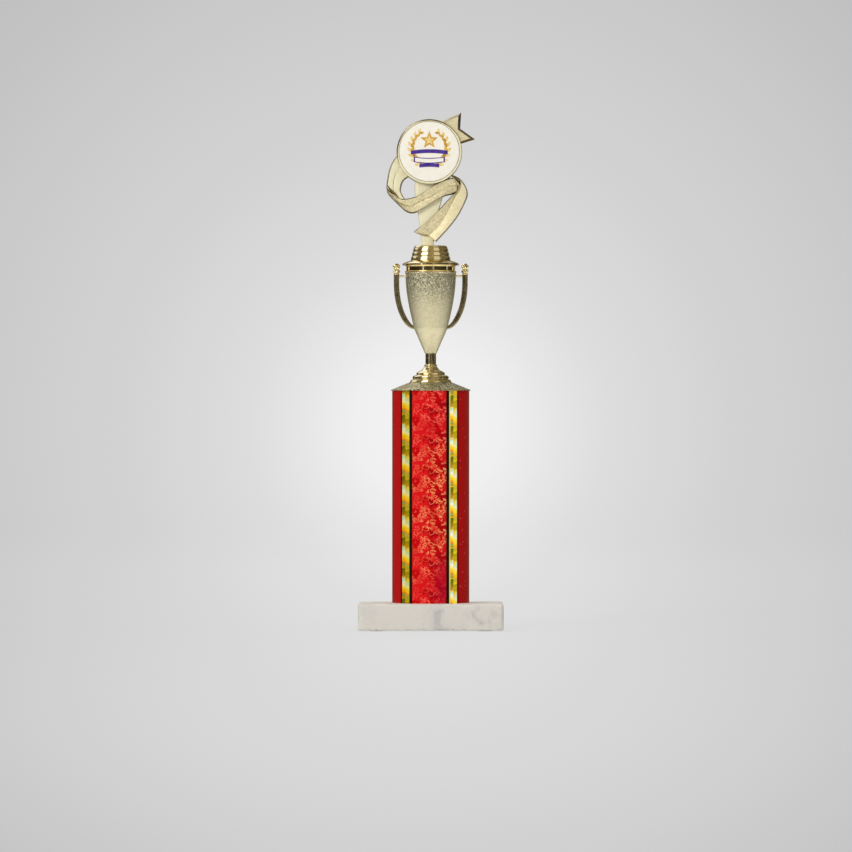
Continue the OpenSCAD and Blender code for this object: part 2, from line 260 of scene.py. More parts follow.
def warped(tree, where, scale, detail, amount, roughness=0.5):
    # position plus a noise colour times amount
    push = noise(tree, where, scale, detail, roughness, 1)
    return vectors(tree, "ADD", where, vectors(tree, "SCALE", push, scale=amount))


def cellsAt(tree, where, scale):
    # cell pattern: Distance to the cell's point, its Color and its Position
    return put(tree, "ShaderNodeTexVoronoi", {"Scale": scale}, {"Vector": where}, feature="F1").outputs


def splitColor(tree, color):
    # the three parts of a colour as numbers
    return put(tree, "ShaderNodeSeparateColor", {}, {0: color}).outputs


def splitPlace(tree, place):
    # the x, y and z of a position
    return put(tree, "ShaderNodeSeparateXYZ", {}, {0: place}).outputs


def rampOf(tree, value, stops):
    # colour ramp through stops, each a position and a colour
    ramp = put(tree, "ShaderNodeValToRGB", {}, {0: value})
    elements = ramp.color_ramp.elements
    while len(elements) < len(stops):
        elements.new(0.5)
    for element, (at, tint) in zip(elements, stops):
        element.position = at
        element.color = (*tint, 1)
    return ramp.outputs[0]


def smudgeGroup():
    # uneven polish: large soft noise as a mask from 0 to 1
    group, given, result = newGroup("unevenPolish", [("Vector", "v", None), ("Patch size", "f", 0.012)],
                                    [("Patches", "f")])
    big = put(group, "ShaderNodeTexNoise", {"Detail": 3.0, "Roughness": 0.6},
              {"Vector": given.outputs[0], "Scale": sums(group, "DIVIDE", 1.0, given.outputs[1])})
    group.links.new(spread(group, big.outputs[0], 0.35, 0.65), result.inputs[0])
    return group


def pebbleGroup():
    # moulded grain: cells with domed tops, mixed with finer noise; Height is 0 to 1, Facet is one value a cell
    group, given, result = newGroup("mouldedGrain", [("Vector", "v", None), ("Cell size", "f", 0.001),
                                                     ("Fine share", "f", 0.4)],
                                    [("Height", "f"), ("Facet", "f")])
    scale = sums(group, "DIVIDE", 1.0, given.outputs[1])
    cells = put(group, "ShaderNodeTexVoronoi", {}, {"Vector": given.outputs[0], "Scale": scale}, feature="F1")
    fine = put(group, "ShaderNodeTexNoise", {"Detail": 3.0, "Roughness": 0.65},
               {"Vector": given.outputs[0], "Scale": times(group, scale, 2.2)})
    dome = sums(group, "SUBTRACT", 1.0, cells.outputs["Distance"], clamp=True)
    height = put(group, "ShaderNodeMix", {}, {0: given.outputs[2], 2: dome, 3: fine.outputs[0]})
    group.links.new(height.outputs[0], result.inputs[0])
    group.links.new(splitColor(group, cells.outputs["Color"])[0], result.inputs[1])
    return group


smudges, pebbles = smudgeGroup(), pebbleGroup()


def started(name):
    # material with its shader wired to the output, and the place each point has on the object
    material = bpy.data.materials.new(name)
    material.use_nodes = True
    tree = material.node_tree
    tree.nodes.clear()
    shader = put(tree, "ShaderNodeBsdfPrincipled")
    put(tree, "ShaderNodeOutputMaterial", links={0: shader.outputs[0]})
    place = put(tree, "ShaderNodeTexCoord").outputs["Object"]
    return material, tree, shader, place


def bump(tree, shader, height, distance, strength=1.0):
    # the surface's slope from a height of 0 to 1 times the distance
    node = put(tree, "ShaderNodeBump", {"Strength": strength, "Distance": distance}, {"Height": height})
    tree.links.new(node.outputs[0], shader.inputs["Normal"])


def patchesOf(tree, place, size):
    # the uneven polish at a patch size
    return put(tree, "ShaderNodeGroup", {"Patch size": size}, {"Vector": place}, node_tree=smudges).outputs[0]


def grainOf(tree, place, cell, fine):
    # the moulded grain's Height and Facet at a cell size
    values = {"Cell size": cell, "Fine share": fine}
    return put(tree, "ShaderNodeGroup", values, {"Vector": place}, node_tree=pebbles).outputs


def polishedGoldMaterial(name, rough, roughPatch, depth=1.0):
    # depth under 1 gives the same plating darker as painted shade, as where it only ever mirrors a dim room
    look = {"bright": (0.88, 0.77, 0.48), "worn": (0.76, 0.64, 0.35), "patch": 0.009, "ripple": 0.00012}
    bright, worn = (tuple(depth * c for c in look[key]) for key in ("bright", "worn"))
    material, tree, shader, place = started(name)
    patches = patchesOf(tree, place, look["patch"])
    tree.links.new(blend(tree, times(tree, patches, 0.5), bright, worn), shader.inputs["Base Color"])
    shader.inputs["Metallic"].default_value = 1.0
    tree.links.new(spread(tree, patches, 0, 1, rough, roughPatch), shader.inputs["Roughness"])
    bump(tree, shader, noise(tree, place, 260.0), look["ripple"], 0.5)
    return material


def satinGoldMaterial(name, look):
    # fine moulded texture: grain in the bump, and each cell a little lighter or darker; on the lid, whose cells
    # run from near-black to light, this tone is painted glints and painted shade
    material, tree, shader, place = started(name)
    height, facet = grainOf(tree, place, look["cell"], look["fine"])
    patches = patchesOf(tree, place, look["patch"])
    tone = blend(tree, times(tree, facet, look["speckle"]), look["light"], look["dark"])
    tone = blend(tree, times(tree, patches, 0.25), tone, look["dark"])
    tree.links.new(tone, shader.inputs["Base Color"])
    shader.inputs["Metallic"].default_value = look["metal"]
    tree.links.new(spread(tree, facet, 0, 1, look["roughLow"], look["roughHigh"]), shader.inputs["Roughness"])
    bump(tree, shader, height, look["depth"])
    return material


def cupGoldMaterial(low, high):
    # moulded grain at the mouth that fades to a fine satin towards the stem; its cells carry painted shade as
    # dark spots and painted highlights as near-white glints, both stronger towards the mouth
    look = {"light": (0.70, 0.66, 0.465), "dark": (0.09, 0.085, 0.045), "glint": (1.0, 0.99, 0.9),
            "coarse": 0.0008, "fine": 0.0006, "metal": 0.94, "depth": 0.0002}
    material, tree, shader, place = started("glintGrainedGold")
    coarse = grainOf(tree, place, look["coarse"], 0.3)
    fine = grainOf(tree, place, look["fine"], 0.6)
    top = spread(tree, splitPlace(tree, place)[2], low, high)
    # painted shade: dark grain cells, more of them towards the mouth
    shadeSpots = times(tree, spread(tree, coarse[1], 0.3, 0.9), sums(tree, "MULTIPLY_ADD", top, 0.62, 0.10))
    # painted highlights: near-white glint cells, more of them towards the mouth
    glints = times(tree, spread(tree, coarse[1], 0.2, 0.05), sums(tree, "MULTIPLY_ADD", top, 0.55, 0.15))
    tone = blend(tree, shadeSpots, look["light"], look["dark"])
    tone = blend(tree, glints, tone, look["glint"])
    tree.links.new(tone, shader.inputs["Base Color"])
    shader.inputs["Metallic"].default_value = look["metal"]
    tree.links.new(spread(tree, fine[1], 0, 1, 0.42, 0.6), shader.inputs["Roughness"])
    height = times(tree, coarse[0], sums(tree, "MULTIPLY_ADD", top, 0.8, 0.2))
    bump(tree, shader, sums(tree, "ADD", height, times(tree, fine[0], 0.35)), look["depth"])
    return material


def marbleMaterial():
    # white stone: clouds of grey, thin wandering veins where a distorted wave crosses zero, fine crystals
    look = {"white": (0.66, 0.625, 0.58), "grey": (0.50, 0.47, 0.44), "vein": (0.36, 0.36, 0.36),
            "warm": (0.68, 0.64, 0.57), "crystal": (0.82, 0.81, 0.79), "greyShare": 0.95, "veinShare": 0.6,
            "depth": 0.00012}
    material, tree, shader, place = started("whiteMarble")
    bent = warped(tree, place, 22.0, 4.0, 0.05, 0.55)
    clouds = noise(tree, bent, 26.0, 5.0, 0.6)
    line = sums(tree, "ABSOLUTE", minus(tree, noise(tree, bent, 17.0, 3.0), 0.5))
    veins = times(tree, spread(tree, line, 0.03, 0.0), spread(tree, clouds, 0.42, 0.62))
    rightwards = spread(tree, splitPlace(tree, place)[0], -0.02, 0.03, 0.25, 1.0)
    tone = blend(tree, spread(tree, clouds, 0.35, 0.7), look["warm"], look["white"])
    grey = times(tree, spread(tree, clouds, 0.45, 0.68), times(tree, rightwards, look["greyShare"]))
    tone = blend(tree, grey, tone, look["grey"])
    tone = blend(tree, times(tree, veins, times(tree, rightwards, look["veinShare"])), tone, look["vein"])
    crystals = noise(tree, place, 1500.0, 2.0)
    tone = blend(tree, spread(tree, crystals, 0.55, 0.75, 0.0, 0.25), tone, look["crystal"])
    tree.links.new(tone, shader.inputs["Base Color"])
    tree.links.new(spread(tree, crystals, 0.3, 0.7, 0.38, 0.6), shader.inputs["Roughness"])
    bump(tree, shader, sums(tree, "ADD", crystals, times(tree, clouds, 0.6)), look["depth"], 0.6)
    return material


def filmMaterial(radius, low, high):
    # printed foil: bands by angle round the column, arcs that repeat up the column, and prism blocks
    look = {"deep": (0.37, 0.0, 0.003), "red": (0.56, 0.001, 0.003), "hot": (0.76, 0.009, 0.012),
            "coral": (1.0, 0.15, 0.10), "orange": (1.0, 0.36, 0.13), "crimson": (0.42, 0.0, 0.02),
            "sideIn": (0.46, 0.004, 0.004), "sideShaded": (0.30, 0.016, 0.004), "black": (0.012, 0.007, 0.002),
            "yellow": (1.0, 0.72, 0.02), "pale": (1.0, 0.86, 0.24), "leftShadeTint": (0.84, 0.78, 0.62),
            "rightSheenTint": (1.3, 1.3, 1.6), "repeat": 0.0258, "turn": -2.5, "edge": 0.00042, "stroke": 0.092,
            "innerLine": 26.0, "stripe": 31.1, "outerLine": 45.1, "side": 48.3, "laneShift": 0.11}
    material, tree, shader, place = started("printedFoil")
    x, y, z = splitPlace(tree, place)
    angle = minus(tree, sums(tree, "ARCTAN2", x, times(tree, y, -1.0)), math.radians(look["turn"]))
    away = sums(tree, "ABSOLUTE", angle)
    up = minus(tree, z, low)
    part = sums(tree, "DIVIDE", up, high - low)
    # the height is rolled up into a ring, so that the pattern comes round again after each repeat
    phase = times(tree, up, tau / look["repeat"])
    ring = look["repeat"] / tau
    loop = put(tree, "ShaderNodeCombineXYZ", {}, {0: times(tree, sums(tree, "COSINE", phase), ring),
                                                  1: times(tree, sums(tree, "SINE", phase), ring),
                                                  2: sums(tree, "MULTIPLY_ADD", angle, radius, 0.437)}).outputs[0]

    # strokes: in each cell of four crumpled patterns, an arc about the cell's point, on a random side of it
    bent = warped(tree, loop, 300.0, 1.0, 0.005)
    shardTone = splitColor(tree, cellsAt(tree, bent, 150.0)["Color"])
    side = spread(tree, angle, math.radians(-30), math.radians(10))
    strokes = 0.0
    for offset, scale in (((0.0, 0.0, 0.0), 165.0), ((0.31, 0.17, 0.53), 190.0),
                          ((0.72, 0.44, 0.19), 215.0), ((0.13, 0.83, 0.61), 175.0)):
        where = vectors(tree, "ADD", bent, offset)
        cells = cellsAt(tree, where, scale)
        fromPoint = vectors(tree, "SUBTRACT", where, cells["Position"])
        aim = vectors(tree, "SUBTRACT", cells["Color"], (0.5, 0.5, 0.5))
        facing = vectors(tree, "DOT_PRODUCT", fromPoint, aim)
        arcSize = sums(tree, "MULTIPLY_ADD", splitColor(tree, cells["Color"])[0], 0.3, 0.22)
        offArc = sums(tree, "ABSOLUTE", minus(tree, cells["Distance"], arcSize))
        arc = times(tree, spread(tree, offArc, look["stroke"], 0.0), spread(tree, facing, -0.0001, 0.0002))
        strokes = sums(tree, "MAXIMUM", strokes, arc)
    corner = times(tree, spread(tree, part, 0.3, 0.12), spread(tree, angle, math.radians(2), math.radians(16)))
    strokes = times(tree, strokes, sums(tree, "MULTIPLY_ADD", side, 0.35, 0.65))
    strokes = times(tree, strokes, sums(tree, "MULTIPLY_ADD", corner, -0.75, 1.0))
    strokes = times(tree, strokes, spread(tree, noise(tree, place, 62.0), 0.38, 0.56, 0.35, 1.0))
    middle = times(tree, spread(tree, part, 0.05, 0.3), spread(tree, part, 0.85, 0.6))
    orangeness = sums(tree, "MULTIPLY", middle, sums(tree, "MULTIPLY_ADD", side, 0.7, 0.25), clamp=True)
    centre = blend(tree, spread(tree, shardTone[0], 0.2, 0.8), look["deep"], look["red"])
    hot = times(tree, spread(tree, shardTone[2], 0.3, 0.7), sums(tree, "MULTIPLY_ADD", side, -0.05, 0.8))
    centre = blend(tree, hot, centre, look["hot"])
    centre = blend(tree, times(tree, corner, 0.6), centre, look["crimson"])
    centre = blend(tree, strokes, centre, blend(tree, orangeness, look["coral"], look["orange"]))

    # prism stripes: two lanes of coloured blocks, offset against each other, repeating with the strokes
    width = math.radians(look["outerLine"] - look["stripe"])
    across = sums(tree, "DIVIDE", minus(tree, away, math.radians(look["stripe"])), width)
    rightSide = sums(tree, "GREATER_THAN", angle, 0.0)
    jitter = minus(tree, noise(tree, bent, 300.0, 0.0), 0.5)
    lane = spread(tree, sums(tree, "MULTIPLY_ADD", jitter, 0.16, across), 0.47, 0.56)
    turns = sums(tree, "ADD", sums(tree, "DIVIDE", up, look["repeat"]), times(tree, rightSide, 0.41))
    turns = sums(tree, "ADD", turns, times(tree, jitter, 0.2))
    stops = [(0.0, (0.42, 0.22, 0.004)), (0.06, (0.17, 0.18, 0.004)), (0.15, (0.14, 0.17, 0.004)),
             (0.18, (0.80, 0.55, 0.005)), (0.25, (0.40, 0.24, 0.004)), (0.31, (0.26, 0.46, 0.10)),
             (0.36, (0.62, 0.24, 0.03)), (0.42, (1.0, 0.36, 0.003)), (0.49, (1.0, 0.66, 0.01)),
             (0.57, (1.0, 0.84, 0.08)), (0.66, (1.0, 0.97, 0.62)), (0.76, (0.46, 0.80, 0.52)),
             (0.82, (0.92, 0.68, 0.08)), (0.92, (0.34, 0.19, 0.004))]
    nearLane, farLane = (rampOf(tree, sums(tree, "FRACT", sums(tree, "ADD", turns, late)), stops)
                         for late in (0.0, look["laneShift"]))
    quiet = blend(tree, sums(tree, "MULTIPLY_ADD", rightSide, 0.1, 0.25), farLane, look["yellow"])
    prism = blend(tree, sums(tree, "ABSOLUTE", minus(tree, lane, rightSide)), quiet, nearLane)
    # painted sheen: the left stripe is painted dimmer and warmer, the right one brighter and bluer with a pale
    # line along its inner edge, as the prism foil catches the light from one side
    prism = blend(tree, 1.0, prism, blend(tree, rightSide, look["leftShadeTint"], look["rightSheenTint"]), "MULTIPLY")
    prism = blend(tree, times(tree, rightSide, spread(tree, across, 0.2, 0.04)), prism, look["pale"])

    # sides: plain red with painted shade that deepens outwards towards the column's edges, and a few painted
    # glints on the right
    # painted glints: a few coral sparks, only on the right side
    glintCells = cellsAt(tree, place, 520.0)
    few = sums(tree, "GREATER_THAN", splitColor(tree, glintCells["Color"])[0], 0.93)
    glintFlecks = times(tree, few, spread(tree, glintCells["Distance"], 0.38, 0.2, 0.0, 0.8))
    # painted shade: the red darkens towards the column's edges
    edgeShade = spread(tree, away, math.radians(52), math.radians(88))
    sides = blend(tree, edgeShade, look["sideIn"], look["sideShaded"])
    glintFlecks = times(tree, glintFlecks, times(tree, rightSide, spread(tree, edgeShade, 0.7, 0.2)))
    sides = blend(tree, glintFlecks, sides, look["coral"])

    tone = centre
    soft = look["edge"] / radius
    black = look["black"]
    for start, tint in (("innerLine", black), ("stripe", prism), ("outerLine", black), ("side", sides)):
        at = math.radians(look[start])
        tone = blend(tree, spread(tree, away, at - soft, at + soft), tone, tint)
    tree.links.new(tone, shader.inputs["Base Color"])
    inStripe = times(tree, sums(tree, "GREATER_THAN", away, math.radians(look["stripe"])),
                     sums(tree, "LESS_THAN", away, math.radians(look["outerLine"])))
    tree.links.new(spread(tree, inStripe, 0, 1, 0.0, 0.1), shader.inputs["Metallic"])
    tree.links.new(spread(tree, shardTone[0], 0, 1, 0.32, 0.5), shader.inputs["Roughness"])
    shader.inputs["Specular IOR Level"].default_value = 0.05
    bump(tree, shader, strokes, 0.00003, 0.4)
    return material


def inkMaterial(name, tone, deeper, rough=0.3, metal=0.0):
    # printed ink or moulded plastic: one hue that drifts between two tones, with fine grain in the gloss
    material, tree, shader, place = started(name)
    drift = spread(tree, noise(tree, place, 180.0, 3.0), 0.35, 0.65)
    fine = noise(tree, place, 2500.0)
    tree.links.new(blend(tree, drift, tone, deeper), shader.inputs["Base Color"])
    gloss = spread(tree, fine, 0.3, 0.7, rough * 0.8, min(1.0, rough * 1.25))
    tree.links.new(gloss, shader.inputs["Roughness"])
    shader.inputs["Metallic"].default_value = metal
    bump(tree, shader, fine, 0.00004, 0.4)
    return material


print("materials")
columnBox, lidBox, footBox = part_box("column_wrap"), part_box("column_lid"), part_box("riser_foot")
cupBox, rimBox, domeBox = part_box("cup_body"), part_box("cup_rim"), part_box("figure_base")
columnR, columnLow, columnTop = columnBox[1][0], columnBox[0][2], columnBox[1][2]
cupLow, cupTop = cupBox[0][2], cupBox[1][2]
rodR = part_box("tie_rod")[1][0]
rodHole = 2.765  # radius of the plain hole in every turned piece, in millimetres

polishedGold = polishedGoldMaterial("polishedGold", 0.09, 0.18)
# the next three are the same plating made darker by depth: painted shade
brushedShadedGold = polishedGoldMaterial("brushedShadedGold", 0.2, 0.3, 0.8)
shadedBarGold = polishedGoldMaterial("shadedBarGold", 0.24, 0.34, 0.52)
shadedEdgeGold = polishedGoldMaterial("shadedEdgeGold", 0.14, 0.24, 0.42)
satinKeys = ("light", "dark", "cell", "fine", "patch", "speckle", "metal", "roughLow", "roughHigh", "depth")
satinLooks = [
    ("satinFigureGold", (0.96, 0.86, 0.56), (0.62, 0.52, 0.27),
     0.0009, 0.7, 0.01, 0.34, 0.25, 0.34, 0.5, 0.00016),
    # painted light: a lighter copy of the figure's satin gold, for the loop and the holder
    ("satinLitPaleGold", (1.0, 0.94, 0.65), (0.78, 0.68, 0.38),
     0.0008, 0.7, 0.012, 0.2, 0.2, 0.36, 0.5, 0.00014),
    # painted light: a lighter, plainer copy for the comet tail, which sits in the shadow of the crossing
    ("satinLitTailGold", (1.0, 0.95, 0.66), (0.84, 0.74, 0.44),
     0.0008, 0.7, 0.012, 0.25, 0.0, 0.4, 0.55, 0.00012),
    # painted shade: a darker, more speckled copy for the crossing and the descent's left face
    ("satinSpeckledShadedGold", (0.92, 0.83, 0.53), (0.44, 0.36, 0.19),
     0.0009, 0.6, 0.008, 0.62, 0.3, 0.32, 0.5, 0.00022),
    # painted glints and painted shade: the lid's cells run from near-black to light
    ("satinLidGlintGold", (0.84, 0.75, 0.45), (0.04, 0.034, 0.012),
     0.0012, 0.4, 0.006, 0.9, 0.75, 0.2, 0.45, 0.0007)]
figureGold, litPaleGold, litTailGold, speckledShadedGold, lidGlintGold = (
    satinGoldMaterial(name, dict(zip(satinKeys, look))) for name, *look in satinLooks)
cupGold = cupGoldMaterial(cupLow + 0.5 * (cupTop - cupLow), cupTop - 0.006)
marble = marbleMaterial()
foil = filmMaterial(columnR, columnLow, columnTop)
zincSteel = inkMaterial("zincSteel", (0.55, 0.56, 0.56), (0.42, 0.43, 0.44), 0.35, 1.0)
blackPlastic = inkMaterial("blackPlastic", (0.03, 0.03, 0.03), (0.045, 0.045, 0.045), 0.5)
tubeBoard = inkMaterial("tubeBoard", (0.62, 0.56, 0.46), (0.52, 0.46, 0.36), 0.7)
paleFelt = inkMaterial("paleFelt", (0.84, 0.83, 0.81), (0.78, 0.77, 0.75), 0.95)
creamFilm = inkMaterial("creamFilm", (0.98, 0.94, 0.83), (0.95, 0.90, 0.77), 0.3)
goldInk = inkMaterial("goldInk", (0.80, 0.47, 0.07), (0.60, 0.30, 0.03), 0.35)
purpleInk = inkMaterial("purpleInk", (0.045, 0.02, 0.22), (0.09, 0.04, 0.33), 0.35)
paleInk = inkMaterial("paleInk", (0.85, 0.60, 0.20), (0.93, 0.74, 0.36), 0.35)


def slabPiece():
    # a closed profile (hole, top, edge, side, edge, bottom, counterbore) carried round a rectangle's outline
    look = {"corner": 3.0, "edge": 1.3, "chip": 1.5, "chipSize": 3.2, "wave": 0.3, "rough": 0.1,
            "washerRoom": 1.5, "rodRoom": 0.35, "around": 560}
    low, high = (np.array(c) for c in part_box("marble_base"))
    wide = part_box("base_washer")[1][0] + look["washerRoom"] * mm
    narrow = rodR + look["rodRoom"] * mm
    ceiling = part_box("base_washer")[1][2]
    count = look["around"]
    halfX, halfY, corner = high[0], high[1], look["corner"] * mm
    outline = roundedLoop([(x, y, corner) for x, y in ((halfX, -halfY), (halfX, halfY),
                                                       (-halfX, halfY), (-halfX, -halfY))], 8)
    outline = np.vstack([outline, outline[:1]])
    run = np.concatenate([[0], np.cumsum(np.linalg.norm(np.diff(outline, axis=0), axis=1))])
    at = np.linspace(0, run[-1], count, endpoint=False)
    rim = np.stack([np.interp(at, run, outline[:, 0]), np.interp(at, run, outline[:, 1])], axis=1)
    unit = rim / np.linalg.norm(rim, axis=1)[:, None]
    edge = look["edge"] * mm
    inner = rim * (1 - edge / np.array([halfX, halfY]))

    quarter = np.linspace(0, math.pi / 2, 7)[1:]
    rings = [(unit * narrow * (1 - t) + inner * t, high[2]) for t in np.linspace(0, 1, 34) ** 0.75]
    rings += [(inner + (rim - inner) * math.sin(a), high[2] - edge * (1 - math.cos(a))) for a in quarter]
    rings += [(rim, z) for z in np.linspace(high[2] - edge, low[2] + edge, 20)[1:]]
    rings += [(inner + (rim - inner) * math.cos(a), low[2] + edge * (1 - math.sin(a))) for a in quarter]
    rings += [(unit * wide * (1 - t) + inner * t, low[2]) for t in np.linspace(1, 0, 18)[1:]]
    rings += [(unit * wide, z) for z in np.linspace(low[2], ceiling, 4)[1:]]
    rings += [(unit * r, ceiling) for r in np.linspace(wide, narrow, 4)[1:]]
    rings += [(unit * narrow, z) for z in np.linspace(ceiling, high[2], 5)[1:-1]]
    grid = np.stack([np.column_stack([xy, np.full(count, z)]) for xy, z in rings], axis=1)

    # chips bite inwards where a sharp edge is near; a slow wave makes the sawn faces uneven
    gap = np.stack([halfX - np.abs(grid[..., 0]), halfY - np.abs(grid[..., 1]),
                    np.minimum(high[2] - grid[..., 2], grid[..., 2] - low[2])], axis=-1)
    near = np.sort(np.clip(gap, 0, None), axis=-1)
    nearEdge = np.exp(-(near[..., 0] + near[..., 1]) / (2.2 * mm))
    chips = latticeNoise(grid, look["chipSize"] * mm, 4) * 0.7
    chips = chips + latticeNoise(grid, 0.4 * look["chipSize"] * mm, 5) * 0.5
    bite = np.clip(chips + 0.05, 0, 1)
    slow = 0.5 + 0.5 * latticeNoise(grid, 26 * mm, 6)
    fine = 0.5 + 0.5 * latticeNoise(grid, 1.3 * mm, 7)
    depth = nearEdge * (look["chip"] * bite + 0.35) + look["wave"] * slow + look["rough"] * fine
    centre = np.array([0, 0, 0.5 * (low[2] + high[2])])
    lean = np.exp(-gap / (2.0 * mm)) * np.sign(grid - centre)
    lean /= np.maximum(np.linalg.norm(lean, axis=-1, keepdims=True), 1e-6)
    fromAxis = np.linalg.norm(grid[..., :2], axis=-1)
    underPost = (fromAxis < columnR + 1.5 * mm) & (grid[..., 2] > high[2] - 1e-5)
    rough = (fromAxis > wide + 2 * mm) & ~underPost
    grid = grid - lean * depth[..., None] * mm * rough[..., None]
    piece = gridObject("marbleSlab", grid, closeU=True, closeV=True, materials=[marble], sharp=60)
    return fitted(piece, "marble", "marble_base")


def padPieces():
    # four discs of felt in from the slab's corners, their walls drawn in by noise
    look = {"radius": 6.0, "soft": 0.3, "fuzz": 0.12}
    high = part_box("base_pads")[1]
    r, thick, soft = look["radius"] * mm, high[2], look["soft"] * mm
    outline = roundedLoop([(0.2 * mm, 0, 0), (r, 0, 0.2 * mm), (r, thick, soft), (0.2 * mm, thick, 0)], 3)
    pads = []
    for sx in (-1, 1):
        for sy in (-1, 1):
            def fuzz(angle, rr, z, seed=20 + sx + 2 * sy):
                # the wall falls back by up to the fuzz
                points = np.stack([np.sin(angle) * 5 + 0 * z, np.cos(angle) * 5 + 0 * z, z * 900], axis=-1)
                return np.where(rr > 0.9 * r, -np.abs(latticeNoise(points, 0.35, seed)) * look["fuzz"] * mm, 0)

            centre = (sx * (high[0] - r), sy * (high[1] - r))
            pads.append(turnedObject("pad", outline, paleFelt, 96, centre, fuzz))
    return fitted(joined("feltPads", pads), "felt", "base_pads")


def filmPiece():
    # thin closed shell on the tube; it stands in by a small step except on the overlap at the back
    look = {"thick": 0.15, "segments": 288, "rows": 24, "lap": 0.16, "step": 0.05}
    t, rows = look["thick"] * mm, look["rows"]
    heights = np.linspace(columnLow, columnTop, rows)
    outline = np.vstack([np.column_stack([np.full(rows, columnR), heights]),
                         np.column_stack([np.full(rows, columnR - t), heights[::-1]])])

    def overlap(angle, r, z):
        # the outer side stands in by the step everywhere beyond the lap's angle
        beyond = (angle - math.pi) % tau > look["lap"]
        return -np.where((r > columnR - 0.5 * t) & beyond, look["step"] * mm, 0)

    piece = turnedObject("foilWrap", outline, foil, look["segments"], relief=overlap)
    return fitted(piece, "column_film", "column_wrap")


def densified(outline, step):
    # long straight stretches get a point every step
    out = []
    for a, b in zip(outline, np.roll(outline, -1, axis=0)):
        count = max(1, int(np.linalg.norm(b - a) / step))
        out.extend(a + (b - a) * k / count for k in range(count))
    return np.array(out)


def lidPiece():
    # flat top, a straight cone to a thin edge, and a skirt inside the tube
    look = {"edge": 0.8, "flat": 18.5, "wall": 1.6, "skirt": 7.0, "soft": 0.3, "tube": 2.3, "step": 0.8}
    wall, flat, edge, deep, soft, tube, step = (look[key] * mm for key in
                                                ("wall", "flat", "edge", "skirt", "soft", "tube", "step"))
    r, low, top = lidBox[1][0], columnTop, footBox[0][2]
    skirt, bore = columnR - tube, rodHole * mm
    outline = roundedLoop([(bore, top, 0), (flat, top, 0.8 * mm),
                           (r - 0.5 * mm, low + edge + 0.1 * mm, soft),
                           (r, low + 0.6 * edge, soft), (r, low, 0.12 * mm), (skirt, low, 0),
                           (skirt, low - deep, soft), (skirt - wall, low - deep, soft),
                           (skirt - wall, low, soft), (flat - wall, top - wall, soft), (bore, top - wall, 0)], 5)
    piece = turnedObject("lidCone", densified(outline, step), lidGlintGold, 224)
    return fitted(piece, "satin_gold", "column_lid")


def heightLoop(corners, low):
    # rounded outline from corners (radius, height over low, rounding) in millimetres
    return roundedLoop([(r * mm, low + z * mm, a * mm) for r, z, a in corners], 6)


def footPiece():
    # two rolled rings with grooves between them, a bell, a collar and a plain stem
    look = {"stem": 4.5, "collar": 5.5, "room": 9.0, "roomHigh": 6.2, "register": 3.6, "registerHigh": 2}
    low = footBox[0][2]
    h = (cupLow - low) / mm
    s, c, room, roomHigh, register = (look[key] for key in ("stem", "collar", "room", "roomHigh", "register"))
    top = h + look["registerHigh"]
    corners = [(rodHole, roomHigh, 0), (room, roomHigh, 0.3), (room, 0, 0.2), (18.0, 0, 0.25), (17.5, 1.0, 0.6),
               (16.9, 2.2, 0.9), (15.4, 2.7, 0.5), (14.9, 3.1, 0.3), (15.5, 3.6, 0.5), (15.3, 5.3, 0.9),
               (13.4, 6.1, 0.5), (12.0, 6.2, 0.3), (11.9, 6.8, 0.3), (12.3, 7.2, 0.4), (12.1, 8.2, 0.6),
               (10.2, 9.4, 2.0), (7.6, 10.6, 2.5), (6.2, 12.3, 1.2), (c + 0.35, 12.9, 0.3), (c, 13.2, 0.2),
               (c - 0.45, 13.5, 0.15), (c - 0.45, 13.9, 0.15), (c + 0.1, 14.1, 0.2), (c, 14.9, 0.3),
               (s, 15.3, 0.4), (s, h, 0), (register, h, 0), (register, top, 0.2), (rodHole, top, 0)]
    outline = heightLoop(corners, low)
    # the plain stem takes the darker brushed copy of the plating: painted shade
    plain = (outline[:, 1] > low + 15.2 * mm).astype(int)
    piece = turnedObject("riserFoot", outline, [polishedGold, brushedShadedGold], 200, bands=plain)
    return fitted(piece, "bright_gold", "riser_foot")


cupShape = {"end": 4.9, "kink": 14.1, "kinkHigh": 21.1, "mouth": cupBox[1][0] / mm,
            "high": (cupTop - cupLow) / mm, "wall": 1.8, "floor": 6.0}


def cupRadius(h):
    # straight cone to the kink, then a quarter sine to the mouth
    cup = cupShape
    t = np.clip((h - cup["kinkHigh"]) / (cup["high"] - cup["kinkHigh"]), 0, 1)
    cone = cup["end"] + (cup["kink"] - cup["end"]) * h / cup["kinkHigh"]
    curve = cup["kink"] + (cup["mouth"] - cup["kink"]) * np.sin(0.25 * tau * t)
    return np.where(h < cup["kinkHigh"], cone, curve)


